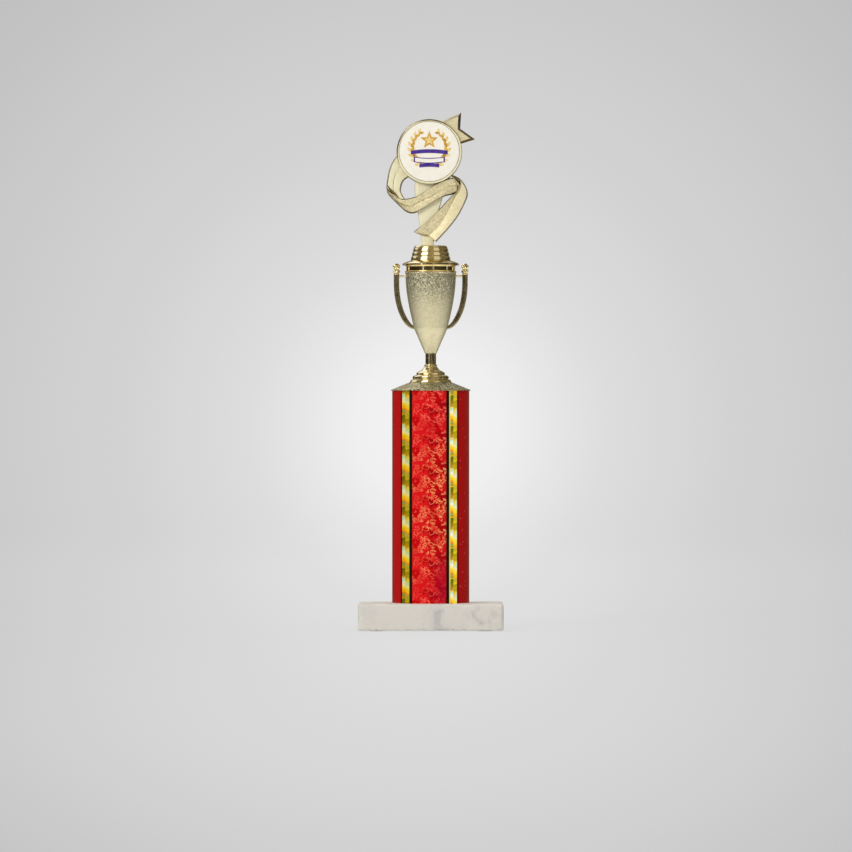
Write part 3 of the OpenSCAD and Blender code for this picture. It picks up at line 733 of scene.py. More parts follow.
def cupPiece():
    # outer side, lip, inner side and floor as one closed outline; the outer side carries a moulded grain
    look = {"grain": 0.13, "cell": 1.1, "rows": 150, "socket": 3.75, "socketHigh": 2.15}
    h = np.linspace(0.3, cupShape["high"], look["rows"])
    outer = np.vstack([[cupShape["end"] - 0.3, 0], np.column_stack([cupRadius(h), h])])
    h = np.linspace(cupShape["high"], cupShape["floor"], 40)
    inner = np.column_stack([cupRadius(h) - cupShape["wall"], h])
    base = [(rodHole, cupShape["floor"]), (rodHole, look["socketHigh"]), (look["socket"], look["socketHigh"]),
            (look["socket"], 0)]
    outline = np.vstack([outer, inner, base]) * mm
    outline[:, 1] += cupLow

    def grain(angle, r, z):
        # two layers of noise, up to the grain's depth, stronger towards the mouth
        up = (z - cupLow) / mm
        outside = (r > cupRadius(up) * mm - 0.5 * mm) & (up > 0.5) & (up < cupShape["high"] - 0.5)
        points = np.stack([r * np.sin(angle), -r * np.cos(angle), z], axis=-1)
        strength = 0.25 + 0.75 * np.clip((up - 30) / 34, 0, 1)
        cell = look["cell"] * mm
        rough = latticeNoise(points, cell, 11) * 0.7 + latticeNoise(points, 0.5 * cell, 12) * 0.3
        return np.where(outside, (rough - 1) * 0.5 * look["grain"] * mm * strength, 0)

    piece = turnedObject("cupBody", outline, cupGold, 300, relief=grain, sharp=60)
    return fitted(piece, "grained_gold", "cup_body")


def rimPiece():
    # bead, waisted band, flange and a slope up to the dome, over a spigot that fills the cup's mouth
    look = {"bead": 1.7, "band": 3.8, "line": 0.8, "spigot": 4.0, "bandIn": 0.6, "wall": 1.6, "play": 1.95}
    mouth, low = cupShape["mouth"], cupTop
    flange, dome, top = rimBox[1][0] / mm, domeBox[1][0] / mm, (domeBox[0][2] - low) / mm
    b1 = look["bead"]
    b2 = b1 + look["band"]
    b3 = b2 + look["line"]
    waist, inside, down = mouth - look["bandIn"], mouth - look["play"], -look["spigot"]
    hollow = inside - look["wall"]
    corners = [(inside, down, 0.3), (inside, 0, 0), (mouth + 0.1, 0, 0.15), (mouth + 0.5, 0.4, 0.35),
               (mouth + 0.5, b1 - 0.5, 0.35), (mouth + 0.1, b1 - 0.1, 0.2), (waist, b1 + 0.1, 0.1),
               (waist, b2 - 0.1, 0.1), (mouth + 0.25, b2 + 0.3, 0.25), (mouth - 0.3, b3, 0.15),
               (mouth + 0.4, b3 + 0.05, 0.1), (flange - 0.2, b3 + 0.1, 0.12), (flange, b3 + 0.25, 0.1),
               (flange, b3 + 1.5, 0.25), (flange - 0.7, b3 + 1.85, 0.4), (dome + 4.4, top - 1.4, 1.5),
               (dome + 1.6, top - 0.45, 1.2), (dome + 0.1, top, 0.2), (rodHole, top, 0), (rodHole, top - 2, 0),
               (9.0, top - 2, 0.5), (hollow, b3, 0.6), (hollow, down, 0.3)]
    return fitted(turnedObject("cupRim", heightLoop(corners, low), polishedGold, 224), "bright_gold", "cup_rim")


def domePiece():
    # three steps, each a quarter ellipse on a slight slope, and a rounded crown
    look = {"steps": 3, "drop": 0.517, "lean": 0.4, "crown": 1.9, "crownIn": 2.2, "groove": 0.45,
            "grooveHigh": 0.5, "socket": 6.0, "socketDeep": 5.0, "nut": 5.65, "nutHigh": 3.0, "room": 8.0}
    low, r0 = domeBox[0][2] / mm, domeBox[1][0] / mm
    high = domeBox[1][2] / mm - low
    stepHigh = (high - look["crown"]) / look["steps"]
    side = []
    r, z = r0, 0.0
    for k in range(look["steps"]):
        turns = np.radians(np.arange(10 if k else 0, 87, 7))
        side += [(r - look["lean"] * math.sin(t) - look["drop"] * (1 - math.cos(t)),
                  z + stepHigh * math.sin(t), 0) for t in turns]
        r, z = r - look["drop"] - look["lean"], z + stepHigh
        if k < look["steps"] - 1:
            side += [(r - look["groove"], z, 0.1), (r - look["groove"], z + look["grooveHigh"], 0.1)]
    side += [(r - look["crownIn"] * (1 - math.cos(t)), z + look["crown"] * math.sin(t), 0)
             for t in np.radians(np.arange(0, 91, 7.5))]
    socket, nut, nutLow, room = (look[key] for key in ("socket", "nut", "nutHigh", "room"))
    shelf, topR = high - look["socketDeep"], r - look["crownIn"]
    inside = [(socket, high, 0.2), (socket, shelf, 0), (nut, shelf, 0), (nut, nutLow, 0), (rodHole, nutLow, 0),
              (rodHole, 0, 0), (room, 0, 0), (room, high - 1.6, 0.3), (topR - 0.8, high - 1.6, 0.5),
              (r0 - 4.2, 0, 0)]
    outline = heightLoop(side + inside, domeBox[0][2])
    return fitted(turnedObject("figureDome", outline, polishedGold, 200), "bright_gold", "figure_base")


def handlePiece(side):
    # bar: a rounded rectangular section carried along a quarter ellipse that narrows at its foot
    look = {"gap": 5.3, "bar": 4.6, "deep": 4.0, "end": 2.4, "top": 1.2, "bracket": 1.5, "rise": 0.86,
            "swirl": 0.30, "flutes": 5}
    kink, kinkHigh = cupShape["kink"] - 0.6, cupShape["kinkHigh"]
    out = cupShape["mouth"] + look["gap"] + look["bar"]
    barTop = cupShape["high"] - look["top"]
    rx, rz = out - kink, look["rise"] * (barTop - kinkHigh)
    a = np.radians(np.linspace(0, 90, 56))
    edge = np.stack([kink + rx * np.sin(a), kinkHigh - 0.4 + rz * (1 - np.cos(a))], axis=1)
    along = np.stack([rx * np.cos(a), rz * np.sin(a)], axis=1)
    along /= np.linalg.norm(along, axis=1)[:, None]
    straight = np.linspace(edge[-1, 1], barTop, 10)[1:]
    edge = np.vstack([edge, np.column_stack([np.full(9, out), straight])])
    along = np.vstack([along, np.tile([0, 1], (9, 1))])
    inward = np.column_stack([-along[:, 1], along[:, 0]])
    grown = np.sin(np.minimum(0.25 * tau, np.concatenate([2 * a, np.full(9, 9.0)])))
    width = look["end"] + (look["bar"] - look["end"]) * grown
    section = roundedLoop([(u, v, 0.09) for u, v in ((0, -0.5), (1, -0.5), (1, 0.5), (0, 0.5))], 5)
    crown = 0.08 * np.cos(math.pi * (section[:, 0] - 0.5))
    deep = look["deep"] * (0.8 + 0.2 * np.clip(np.arange(len(edge)) / 20, 0, 1))
    x, z = (edge[:, None, k] + inward[:, None, k] * section[None, :, 0] * width[:, None] for k in (0, 1))
    y = (section[None, :, 1] + np.sign(section[None, :, 1]) * (crown[None, :] - 0.08)) * deep[:, None]
    grid = np.stack([side * x * mm, y * mm, cupLow + z * mm], axis=-1)
    # the bar takes the darker copy of the plating: painted shade
    parts = [gridObject("bar", grid, closeV=True, capU=True, materials=[shadedBarGold], sharp=50)]

    # fluted knot: a beaded turned profile whose radius also swells with a spiral
    post = out - 0.5 * look["bar"]
    profile = smoothLine([(0.05, -0.3), (2.3, -0.3), (2.6, 0.2), (1.9, 0.7), (1.7, 1.0), (2.6, 1.5), (2.9, 2.4),
                          (2.3, 3.4), (1.5, 3.9), (2.3, 4.6), (2.9, 5.9), (2.8, 7.2), (2.0, 8.3), (1.1, 9.0),
                          (0.05, 9.6)], 80)
    angle = np.linspace(0, tau, 72, endpoint=False)[:, None]
    r, up = (np.broadcast_to(profile[:, k], (72, 80)) for k in (0, 1))
    swirl = np.cos(look["flutes"] * angle * side + 0.9 * up) * look["swirl"]
    r = r + swirl * np.clip(up - 1.2, 0, 1) * np.clip((9.6 - up) / 2, 0, 1) * np.clip(r / 2, 0, 1)
    low = cupLow / mm + barTop
    knot = np.stack([side * post + r * np.sin(angle), -r * np.cos(angle), low + up], axis=-1) * mm
    parts.append(gridObject("knot", knot.transpose(1, 0, 2), closeV=True, capU=True, materials=[polishedGold],
                            sharp=60))

    # bracket: a small bar from the cup to the post, waisted in the middle, with a flared boss on the cup
    bracketHigh = cupShape["high"] - 2.7
    reach = np.linspace(float(cupRadius(np.array(bracketHigh))) - 0.15, post - 0.5 * look["bar"] + 0.6, 14)
    t = (reach - reach[0]) / (reach[-1] - reach[0])
    thick = 0.5 * look["bracket"] * (1 + 0.5 * np.exp(-t * 9) + 0.35 * np.exp(-(1 - t) * 9))[:, None]
    turn = np.linspace(0, tau, 24, endpoint=False)
    bracket = np.stack([np.broadcast_to(side * reach[:, None] * mm, (14, 24)), thick * 1.25 * np.sin(turn) * mm,
                        cupLow + (bracketHigh + thick * np.cos(turn)) * mm], axis=-1)
    parts.append(gridObject("bracket", bracket, closeV=True, capU=True, materials=[polishedGold]))
    name, node = ("handleLeft", "handle_left") if side < 0 else ("handleRight", "handle_right")
    return fitted(joined(name, parts), "bright_gold", node)


figureLow = domeBox[1][2]
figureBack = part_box("award_figure")[1][1] / mm
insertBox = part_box("insert_disc")
discX, discZ = (0.5 * (insertBox[0][k] + insertBox[1][k]) for k in (0, 2))
insertR = 0.5 * (insertBox[1][0] - insertBox[0][0])


def raised(grid):
    # from millimetres over the dome to metres over the ground
    grid = grid * mm
    grid[..., 2] += figureLow
    return grid


def ribbonStrip(name, left, middle, right, depth, rows, faceGold, hollow, edge=None, draft=0.95, seam=0.2):
    # three guide lines (left edge, crease, right edge) in the front view; depth gives how far each stands
    # forward from its start to its end; the section runs up a leaning polished wall, over two satin faces
    # and down again; hollow is how far its back stays in front of the moulding's back; the walls take the
    # darker polished copy unless an edge is given, as painted shade
    l, m, r = (evenLine(line, rows) for line in (left, middle, right))
    fl, fm, fr = (smoothLine([[d] for d in line], rows)[:, 0] for line in depth)
    span = np.maximum(np.linalg.norm(r - l, axis=1), 1e-6)[:, None]
    unit = (r - l) / span
    lean = np.minimum(draft, 0.2 * span) * unit
    back = np.full(rows, figureBack - hollow)
    faces = 7
    section = [(l, back, 1), (l + 0.1 * lean, back - 0.4, 1), (l + 0.8 * lean, -fl + 0.75, 1),
               (l + 0.95 * lean, -fl + 0.2, 1)]
    inL, inR = l + 1.3 * lean, r - 1.3 * lean
    section.append((inL, -fl, 0))
    gap = np.minimum(seam, 0.05 * span) * unit
    for k in range(1, faces + 1):
        t = k / faces
        y = -fl * (1 - t) - fm * t - 0.25 * np.sin(math.pi * t)
        section.append((inL * (1 - t) + (m - gap) * t, y, 0))
    section[-1] = (m - gap, -fm, 1)
    section.append((m, -fm + 0.12, 1))
    for k in range(faces + 1):
        t = k / faces
        y = -fm * (1 - t) - fr * t - 0.25 * np.sin(math.pi * t)
        section.append(((m + gap) * (1 - t) + inR * t, y, 2))
    section[-1] = (inR, -fr, 1)
    section += [(r - 0.95 * lean, -fr + 0.2, 1), (r - 0.8 * lean, -fr + 0.75, 1),
                (r - 0.1 * lean, back - 0.4, 1), (r, back, 0)]
    grid = raised(np.stack([np.column_stack([xz[:, 0], y, xz[:, 1]]) for xz, y, band in section], axis=1))
    return gridObject(name, grid, closeV=True, capU=True, bands=[band for xz, y, band in section],
                      materials=[faceGold[0], edge or shadedEdgeGold, faceGold[1]], sharp=24)


def foldRoll(name, line, sizes, front):
    # polished roll where the ribbon turns over, in the darker polished copy as painted shade in the fold: a
    # tapering round section along a line
    rows = 40
    path = evenLine(line, rows)
    size, fr = (smoothLine([[s] for s in values], rows)[:, 0] for values in (sizes, front))
    along = np.gradient(path, axis=0)
    along /= np.linalg.norm(along, axis=1)[:, None]
    normal = np.column_stack([-along[:, 1], along[:, 0]])
    turn = np.linspace(0, tau, 20, endpoint=False)
    xz = path[:, None, :] + normal[:, None, :] * (size[:, None] * np.sin(turn))[..., None]
    y = -fr[:, None] - 0.8 * size[:, None] * np.cos(turn)
    grid = raised(np.stack([xz[..., 0], y, xz[..., 1]], axis=-1))
    return gridObject(name, grid, closeV=True, capU=True, materials=[shadedEdgeGold])


def outlineBlock(name, outline, front, hollow, draft=1.0):
    # flat plate with leaning polished walls, in the darker polished copy as painted shade: the outline is carried
    # inwards by mitred offsets
    p = np.array(outline, float)
    before, after = p - np.roll(p, 1, axis=0), np.roll(p, -1, axis=0) - p
    before /= np.linalg.norm(before, axis=1)[:, None]
    after /= np.linalg.norm(after, axis=1)[:, None]
    turnArea = 0.5 * np.sum(p[:, 0] * np.roll(p[:, 1], -1) - np.roll(p[:, 0], -1) * p[:, 1])
    way = 1 if turnArea > 0 else -1
    nb, na = (np.column_stack([-d[:, 1], d[:, 0]]) * way for d in (before, after))
    mitre = (nb + na) / np.maximum(1 + np.sum(nb * na, axis=1), 0.35)[:, None]
    back = figureBack - hollow
    steps = [(0, back), (0.1, back - 0.4), (0.8, -front + 0.8), (0.95, -front + 0.2), (1.3, -front)]
    rows = []
    for inset, y in steps:
        xz = p + mitre * inset * draft
        rows.append(np.column_stack([xz[:, 0], np.full(len(p), y), xz[:, 1]]))
    piece = gridObject(name, raised(np.stack(rows, axis=0)), closeV=True, capU=True,
                       materials=[figureGold, shadedEdgeGold], sharp=25)
    index = np.zeros(len(piece.data.polygons), np.int32)
    index[:(len(steps) - 1) * len(p)] = 1
    piece.data.polygons.foreach_set("material_index", index)
    return piece


def discGrid(r, y, turn):
    # circles of radius r at depth y about the axis of the insert
    y = np.broadcast_to(y, np.broadcast_shapes(r.shape, turn.shape))
    return np.stack([discX + r * np.cos(turn), y, discZ + r * np.sin(turn)], axis=-1)


def holderPiece():
    # round holder: a profile turned about the disc's axis, with a chamfer that widens on one side; its faces are
    # the lighter satin copy as painted light, its chamfer and walls the darker polished copy as painted shade
    look = {"rim": 2.4, "front": 5.0, "chamfer": 1.1, "chamferAt": 116}
    outer, inner, face = insertR / mm + look["rim"], insertR / mm, look["front"]
    # each entry is radius, depth, share of the chamfer's extra width, material band
    profile = [(0.1, figureBack, 0, 0), (outer, figureBack, 0, 1), (outer - 0.1, 0, 0, 1),
               (outer - 0.3, -face + 0.5, 0.3, 1), (outer - 0.5, -face - 0.1, 1, 0),
               (outer - 0.85, -face - 0.35, 1, 0), (inner + 0.65, -face - 0.35, 0, 0),
               (inner + 0.35, -face - 0.1, 0, 1), (inner + 0.15, -face + 0.25, 0, 1),
               (inner + 0.15, -face + 1.0, 0, 1), (0.1, -face + 1.0, 0, 1)]
    turn = np.linspace(0, tau, 180, endpoint=False)[:, None]
    radius, y, share, bands = np.array(profile).T
    wide = look["chamfer"] * np.clip(1.3 * np.cos(turn - math.radians(look["chamferAt"])), 0, 1)
    grid = discGrid((radius - share * wide) * mm, y * mm, turn)
    return gridObject("discHolder", grid, closeU=True, closeV=True, bands=bands, materials=[litPaleGold, shadedEdgeGold],
                      sharp=30)


def figurePieces():
    # the moulding from strips between guide lines, a plate for the star, rolls at the turns, holder and spigot
    # the moulding is one satin gold in lighter and darker copies, painted light and painted shade: lighter for
    # the tail, the loop and the holder, darker for the crossing and the descent's left face; walls and rolls take
    # the darker polished copy
    tail = ribbonStrip(
        "cometTail",
        [(-7, 0.0), (-8.4, 8), (-9.6, 19), (-11.2, 29), (-13.3, 41), (-13.4, 54), (-10, 74)],
        [(-4.6, 0.0), (-5.6, 8), (-6.6, 19), (-8.0, 29), (-9.6, 41), (-9.2, 54), (-6, 74)],
        [(2.6, 0.0), (2.8, 8), (4.2, 19), (6.6, 29), (9.6, 39), (13, 54), (14, 74)],
        [(-0.2, 0, 0), (0.6, 0.8, 0.8), (-0.6, -0.2, -0.2)], 80, (litTailGold, litTailGold), 0.3, litTailGold, 0.5, 0.02)
    star = outlineBlock("starTips", [(25.8, 113.2), (0, 101.4), (2, 90), (13, 82.5), (37.6, 90.3), (25.0, 99.3)],
                        1.0, 0.9, 1.7)
    loop = ribbonStrip(
        "ribbonLoop",
        [(-19, 84), (-28.7, 76.2), (-34.2, 67.4), (-36.8, 56.7), (-37.5, 48.9), (-35.6, 44.2), (-31.8, 40.2)],
        [(-13, 75), (-23.5, 68.5), (-29.2, 61.5), (-31.6, 53.5), (-31.6, 47), (-30.3, 43), (-27.2, 39.8)],
        [(-7, 64), (-19.6, 57.7), (-23.8, 53.2), (-25.2, 46.7), (-24.1, 43.5), (-22.6, 41), (-21.2, 39.4)],
        [(1.0, 2.2, 3.0), (1.2, 1.8, 3.4), (0.8, 1.6, 3.8)], 90, (litPaleGold, litPaleGold), 0.6)
    crossing = ribbonStrip(
        "ribbonCrossing",
        [(-36.8, 47.4), (-33.6, 45.4), (-28.1, 41.4), (-21.9, 39.9), (-12.1, 42.2), (-3, 47.5), (4.5, 52.4),
         (12.5, 56.2), (18.6, 57.8), (24.4, 56.6)],
        [(-37.2, 46.4), (-34.9, 43.2), (-30.4, 38.7), (-25.4, 35.6), (-17.0, 33.6), (-7.3, 38.3), (1.9, 42.6),
         (10, 47.9), (17.4, 50.8), (25.2, 51.6)],
        [(-37.3, 45.8), (-35.0, 42.0), (-30.6, 37.6), (-26.2, 33.4), (-21.6, 29.3), (-16.3, 27.4), (-10.8, 28.7),
         (-4.6, 32.3), (4.6, 37.9), (12.0, 41.9), (18.0, 43.4), (24.6, 46.4)],
        [(3.6, 5.4, 2.4), (2.9, 3.0, 1.6), (3.2, 5.2, 2.4)], 140, (speckledShadedGold, speckledShadedGold), 1.2)
    # painted shade: the descent's left face takes the darker copy, and its right face the plain satin gold
    descent = ribbonStrip(
        "ribbonDescent",
        [(15, 61.5), (18.8, 58.2), (21.6, 53.2), (21.6, 48.6), (19.8, 44.8), (16.7, 41.4), (12.5, 36.9),
         (7.3, 31.2), (0.6, 24.8), (-6.2, 18.6), (-14.7, 11.8)],
        [(17, 60.4), (20.6, 57.8), (23.6, 53.2), (23.2, 48.0), (21.2, 43.2), (16.2, 32.2), (10.8, 22.6),
         (4.6, 14.4), (-1.4, 8.9)],
        [(18.0, 60.4), (24.9, 56.9), (30.0, 50.0), (31.5, 43.4), (29.6, 37.4), (24, 26.4), (17.5, 17.4),
         (10.6, 9.6), (4.8, 3.4)],
        [(3.2, 4.6, 4.6), (2.6, 1.9, 1.6), (2.6, 3.6, 4.4)], 120, (speckledShadedGold, figureGold), 0.9)
    leftFold = foldRoll("leftFold", [(-36.6, 51.0), (-35.4, 47.6), (-32.8, 44.6), (-27.6, 40.8)],
                        (0.5, 1.9, 2.0, 0.5), (3.0, 3.2, 3.7, 4.2))
    rightFold = foldRoll("rightFold",
                         [(17.0, 59.2), (20.2, 57.4), (22.8, 54.4), (23.6, 50.8), (22.4, 46.4), (20.2, 43.2)],
                         (0.4, 1.5, 2.1, 1.3, 0.7, 0.2), (4.2, 3.9, 3.6, 3.6, 3.6, 3.6))
    spigot = turnedObject("spigot", roundedLoop([
        (0.3 * mm, figureLow, 0), (5.85 * mm, figureLow + 0.02 * mm, 0),
        (5.85 * mm, figureLow - 4.7 * mm, 0.3 * mm), (0.3 * mm, figureLow - 4.7 * mm, 0)], 3), polishedGold, 64)
    parts = [tail, star, loop, crossing, descent, leftFold, rightFold, holderPiece(), spigot]
    figure = joined("awardFigure", parts)
    return fitted(figure, "figure_gold", "award_figure")


def insertPiece():
    # thin round disc with a pressed edge
    low, high, r = insertBox[0][1], insertBox[1][1], insertR
    outline = roundedLoop([(0.2 * mm, high, 0), (r, high, 0.1 * mm), (r, low + 0.25 * mm, 0.15 * mm),
                           (r - 0.5 * mm, low, 0.4 * mm), (0.2 * mm, low, 0)], 4)
    turn = np.linspace(0, tau, 160, endpoint=False)[:, None]
    grid = discGrid(outline[None, :, 0], outline[:, 1], turn).transpose(1, 0, 2)
    piece = gridObject("insertDisc", grid, closeV=True, capU=True, materials=[creamFilm], sharp=50)
    return fitted(piece, "printed_disc", "insert_disc")


def flatMark(name, outline, material, layer=1):
    # one printed shape as a thin tile on the insert's face, a little thicker for each layer
    p = np.array(outline, float) * mm
    face, thick = insertBox[0][1], 0.03 * mm
    grid = np.stack([np.column_stack([discX + p[:, 0], np.full(len(p), y), discZ + p[:, 1]])
                     for y in (face + 0.01 * mm, face - layer * thick)], axis=0)
    return gridObject(name, grid, closeV=True, capU=True, materials=[material], sharp=20)


def bannerMark(name, halfWide, margin, low, high, bow, material, layer):
    # band between two parallel arcs: the rise is bow times 1 - (x / halfWide)^2
    x = np.linspace(-halfWide + margin, halfWide - margin, 25)
    arc = bow * (1 - (x / halfWide) ** 2)
    outline = np.vstack([np.column_stack([x, low + arc]), np.column_stack([x[::-1], high + arc[::-1]])])
    return flatMark(name, outline, material, layer)


def emblemPiece():
    # plain award sign: star over a laurel, with three blank ribbons under it
    look = {"starR": 7.8, "starZ": 9.4, "starIn": 0.44, "core": 0.55, "laurelR": 15.0, "laurelZ": 3.2,
            "leaves": 8, "leafLong": 6.6, "leafHalf": 0.24, "margin": 1.2, "inset": 0.7}
    a = np.radians(90 + 36 * np.arange(10))
    r = np.where(np.arange(10) % 2 == 0, look["starR"], look["starR"] * look["starIn"])
    star, core = (np.column_stack([size * r * np.cos(a), look["starZ"] + size * r * np.sin(a)])
                  for size in (1, look["core"]))
    marks = [flatMark("star", star, goldInk, 2), flatMark("starCore", core, paleInk, 3)]
    t = np.linspace(0, 1, 9)
    half = look["leafHalf"] * np.sin(math.pi * t) ** 0.8
    leaf = np.vstack([np.column_stack([t, half]), np.column_stack([t[::-1][1:-1], -half[::-1][1:-1]])])
    leaf = leaf * look["leafLong"]
    for side in (-1, 1):
        for k in range(look["leaves"]):
            swing = math.radians(-66 + 17 * k)
            base = np.array([side * look["laurelR"] * math.cos(swing),
                             look["laurelZ"] + look["laurelR"] * math.sin(swing)])
            for lean in (0.45, -0.55):
                turn = swing + 0.25 * tau + lean
                if side < 0:
                    turn = math.pi - turn
                spin = np.array([[math.cos(turn), math.sin(turn)], [-math.sin(turn), math.cos(turn)]])
                marks.append(flatMark("leaf", base + leaf @ spin * (1 - 0.04 * k),
                                      goldInk if lean > 0 else paleInk, 1))
    for halfWide, low, high, bow in ((15.6, -2.6, 0.6, 1.3), (13.2, -9.0, -4.4, -1.1), (8.4, -13.6, -10.6, 0.6)):
        marks.append(bannerMark("banner", halfWide, 0, low, high, bow, purpleInk, 4))
        if high - low > 4:
            inset = look["inset"]
            marks.append(bannerMark("bannerFace", halfWide, look["margin"], low + inset, high - inset, bow,
                                    creamFilm, 5))
    return fitted(joined("insertEmblem", marks), "printed_disc")


def threadPiece():
    # rod with a triangular thread: the radius falls by the depth as height over pitch minus angle goes round
    look = {"pitch": 1.058, "deep": 0.3, "perTurn": 6, "around": 20, "end": 0.4, "tip": 0.75}
    low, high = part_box("tie_rod")
    pitch, end, tip = look["pitch"] * mm, look["end"] * mm, look["tip"] * rodR
    z = np.arange(low[2] + end, high[2] - end, pitch / look["perTurn"])[:, None]
    angle = np.linspace(0, tau, look["around"], endpoint=False)
    phase = (z / pitch - angle / tau) % 1
    r = rodR - look["deep"] * mm * 2 * np.abs(phase - 0.5)
    r = np.vstack([np.full(len(angle), tip), r, np.full(len(angle), tip)])
    z = np.broadcast_to(np.vstack([[low[2]], z, [high[2]]]), r.shape)
    grid = np.stack([r * np.sin(angle), -r * np.cos(angle), z], axis=-1)
    piece = gridObject("tieRod", grid, closeV=True, capU=True, materials=[zincSteel], sharp=60)
    return fitted(piece, "zinc_steel", "tie_rod")


def nutPiece(name, node):
    # hexagon cut by a chamfer cone at both faces: at each height the radius is the smaller of the two
    look = {"play": 0.05, "heights": (0, 0, 0.12, 0.25), "cone": (0, 0.98, 1.08, 1 / math.cos(tau / 12))}
    low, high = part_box(node)
    flat, rise = high[1], (high[2] - low[2]) * np.array(look["heights"])
    angle = np.linspace(0, tau, 96, endpoint=False)[:, None]
    hexR = flat / np.cos((angle + tau / 12) % (tau / 6) - tau / 12)
    z = np.concatenate([low[2] + rise, (high[2] - rise)[::-1]])
    cone = flat * np.array(look["cone"] + look["cone"][::-1])
    r = np.minimum(hexR, cone)
    r[:, [0, -1]] = rodR + look["play"] * mm
    grid = np.stack([r * np.cos(angle), r * np.sin(angle), np.broadcast_to(z, r.shape)], axis=-1)
    piece = gridObject(name, grid, closeU=True, closeV=True, materials=[zincSteel], sharp=30)
    return fitted(piece, "zinc_steel", node)


def washerPiece(name, node):
    # flat ring with softened corners
    look = {"play": 0.35, "soft": 0.18}
    low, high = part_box(node)
    bore, soft = rodR + look["play"] * mm, look["soft"] * mm
    outline = roundedLoop([(bore, low[2], soft), (high[0], low[2], soft),
                           (high[0], high[2], soft), (bore, high[2], soft)], 3)
    return fitted(turnedObject(name, outline, zincSteel, 96), "zinc_steel", node)


slabPiece()
padPieces()
print("slab and pads")
filmPiece()
lidPiece()
footPiece()
cupPiece()
rimPiece()
domePiece()
print("turned pieces")
for side in (-1, 1):
    handlePiece(side)
figurePieces()
insertPiece()
emblemPiece()
print("handles, figure and insert")
threadPiece()
for name, node in (("slabNut", "base_nut"), ("lidNut", "lid_nut"), ("domeNut", "figure_nut")):
    nutPiece(name, node)
for name, node in (("slabWasher", "base_washer"), ("lidWasher", "lid_washer")):
    washerPiece(name, node)
for node, material in (("column_plug", blackPlastic), ("column_tube", tubeBoard)):
    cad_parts[node].data.materials.clear()
    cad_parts[node].data.materials.append(material)
print("fasteners and hidden pieces")


def floorBowl():
    # pale floor that rises into a round wall far behind and all about: height is zero, then a quarter circle
    look = {"flat": 5.6, "bend": 2.2, "wall": 7.0, "glow": 0.85, "eye": 5.0, "centre": 0.173, "reach": 0.51,
            "around": 128}
    shades = [(0.0, 0.93), (0.12, 0.905), (0.2, 0.83), (0.3, 0.75), (0.5, 0.675), (0.7, 0.63), (1.0, 0.55)]
    flat, bend = look["flat"], look["bend"]
    a = np.linspace(0, 0.25 * tau, 24)
    r = np.concatenate([[0.02, 0.3, 1.0, 2.5, 4.0], flat + bend * np.sin(a), [flat + bend] * 3])
    z = np.concatenate([[0] * 5, bend * (1 - np.cos(a)), [3.5, 5.0, look["wall"]]])
    angle = np.linspace(0, tau, look["around"], endpoint=False)[:, None]
    grid = np.stack([r * np.sin(angle), -r * np.cos(angle), np.broadcast_to(z, (len(angle), len(z)))], axis=-1)

    # painted pool of light, which the floor gives off as its own glow: brightness falls with the distance from
    # the middle, as each point appears from the front
    material, tree, shader, place = started("paperFloor")
    x, y, up = splitPlace(tree, place)
    near = sums(tree, "DIVIDE", look["eye"], sums(tree, "MAXIMUM", sums(tree, "ADD", y, look["eye"]), 1.2))
    u = times(tree, x, near)
    w = times(tree, minus(tree, up, look["centre"]), near)
    out = sums(tree, "SQRT", sums(tree, "ADD", times(tree, u, u), times(tree, w, w)))
    out = sums(tree, "DIVIDE", out, look["reach"], clamp=True)
    out = sums(tree, "MAXIMUM", out, spread(tree, y, -2.6, -4.4, 0.0, 0.6))
    lit = rampOf(tree, out, [(at, (level, level, level)) for at, level in shades])
    fibres = spread(tree, noise(tree, place, 900.0, 2.0), 0.3, 0.7, 0.0, 0.02)
    paperGlow = blend(tree, fibres, lit, (0, 0, 0))
    tree.links.new(blend(tree, 1 - look["glow"], (0, 0, 0), paperGlow), shader.inputs["Base Color"])
    tree.links.new(paperGlow, shader.inputs["Emission Color"])
    for key, value in (("Emission Strength", look["glow"]), ("Roughness", 0.9), ("Specular IOR Level", 0.0)):
        shader.inputs[key].default_value = value
    floor = gridObject("floor", grid, closeU=True, materials=[material])
    turn = angle[:, 0]
    rings = [np.column_stack([r * np.sin(turn), -r * np.cos(turn), 0 * turn]) for r in (0.021, 0.0002)]
    middle = gridObject("floorMiddle", np.stack(rings), closeV=True, materials=[material])
    for piece in (floor, middle):
        piece.visible_glossy = False


def softBox(name, place, aim, size, power, tone=(1, 1, 1)):
    # rectangular lamp that faces the aim and isn't mirrored itself
    light = bpy.data.lights.new(name, "AREA")
    light.shape = "RECTANGLE"
    light.size, light.size_y = size
    light.energy = power
    light.color = tone
    lamp = bpy.data.objects.new(name, light)
    lamp.location = place
    lamp.rotation_euler = (Vector(aim) - Vector(place)).to_track_quat("-Z", "Y").to_euler()
    lamp.visible_glossy = False
    lamp.visible_camera = False
    bpy.context.scene.collection.objects.link(lamp)


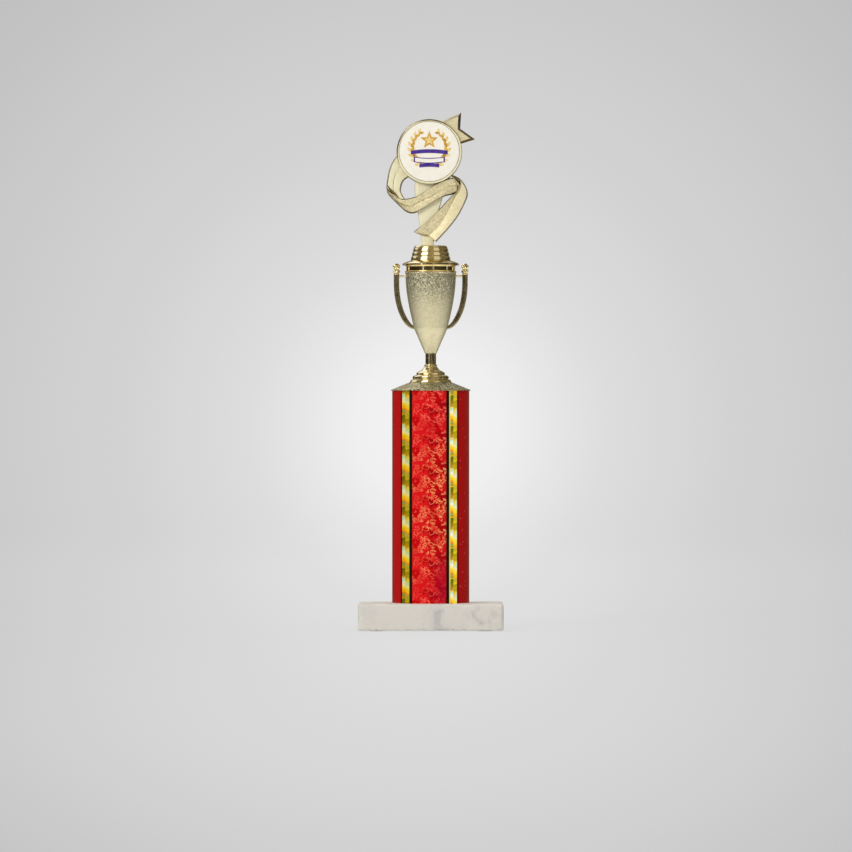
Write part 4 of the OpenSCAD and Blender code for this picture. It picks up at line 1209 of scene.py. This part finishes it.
def studioWorld():
    # polished metal sees a dim brown room with soft boxes; everything else sees an even pale light
    look = {"fill": 1.15, "horizon": 0.16, "room": (0.33, 0.27, 0.15), "below": 1.2, "sides": 0.55}
    # azimuth from the front, half width, lowest and highest elevation, all in degrees, then strength
    boxes = [(-42, 19, 13, 60, 2.15), (40, 19, 16, 48, 0.45), (-122, 20, 14, 50, 0.7), (-160, 30, 26, 60, 1.1),
             (0, 125, -78, -16, 1.15), (-36, 2.2, -10, 10, 1.1), (13, 1.6, -10, 10, 0.8), (84, 2.2, -10, 10, 0.8),
             (-126, 3, -10, 10, 0.6), (150, 3, -10, 10, 0.6), (180, 24, -13, 13, 0.35)]
    world = bpy.data.worlds.new("studio")
    bpy.context.scene.world = world
    world.use_nodes = True
    tree = world.node_tree
    tree.nodes.clear()
    x, y, up = splitPlace(tree, put(tree, "ShaderNodeTexCoord").outputs["Generated"])
    azimuth = times(tree, sums(tree, "ARCTAN2", x, times(tree, y, -1.0)), 360 / tau)
    rise = times(tree, sums(tree, "ARCSINE", up), 360 / tau)
    room = sums(tree, "ADD", spread(tree, sums(tree, "ABSOLUTE", rise), 6, 20, look["horizon"], 1.0),
                spread(tree, rise, -12, -45, 0, look["below"] - 1))
    room = times(tree, room, spread(tree, sums(tree, "ABSOLUTE", azimuth), 50, 70, 1.0, look["sides"]))
    level = 0.0
    for centre, half, low, high, strength in boxes:
        off = sums(tree, "ABSOLUTE", sums(tree, "WRAP", minus(tree, azimuth, centre), 180.0, -180.0))
        soft = max(0.8, 0.15 * half)
        within = times(tree, spread(tree, rise, low - 2, low + 2), spread(tree, rise, high + 4, high - 4))
        inside = times(tree, spread(tree, off, half + soft, half - soft), within)
        level = sums(tree, "MULTIPLY_ADD", inside, strength, level)
    lit = vectors(tree, "ADD", vectors(tree, "MULTIPLY", room, look["room"]), level)
    glow = put(tree, "ShaderNodeBackground", {}, {0: lit})
    even = put(tree, "ShaderNodeBackground", {0: (1, 1, 1, 1), 1: look["fill"]})
    shiny = put(tree, "ShaderNodeLightPath").outputs["Is Glossy Ray"]
    mix = put(tree, "ShaderNodeMixShader", {}, {0: shiny, 1: even.outputs[0], 2: glow.outputs[0]})
    put(tree, "ShaderNodeOutputWorld", links={0: mix.outputs[0]})


def cameraPiece():
    # level, long lens, square frame 0.7216 m wide at the object: focal length is 36 mm times away over wide
    look = {"away": 5.0, "x": -0.004, "z": 0.1728, "wide": 0.7216}
    camera = bpy.data.cameras.new("camera")
    camera.sensor_width = 36
    camera.lens = 36 * look["away"] / look["wide"]
    camera.clip_end = 50
    eye = bpy.data.objects.new("camera", camera)
    eye.location = (look["x"], -look["away"], look["z"])
    eye.rotation_euler = (0.25 * tau, 0, 0)
    bpy.context.scene.collection.objects.link(eye)
    bpy.context.scene.camera = eye
    bpy.context.scene.view_settings.view_transform = "Standard"


floorBowl()
studioWorld()
softBox("keyBox", (-1.35, -2.3, 1.6), (0, 0, 0.25), (1.0, 1.0), 36, (1.0, 0.99, 0.97))
softBox("backBox", (0.2, 2.2, 2.2), (0, 0, 0.2), (1.6, 1.0), 8)
cameraPiece()
print("studio")
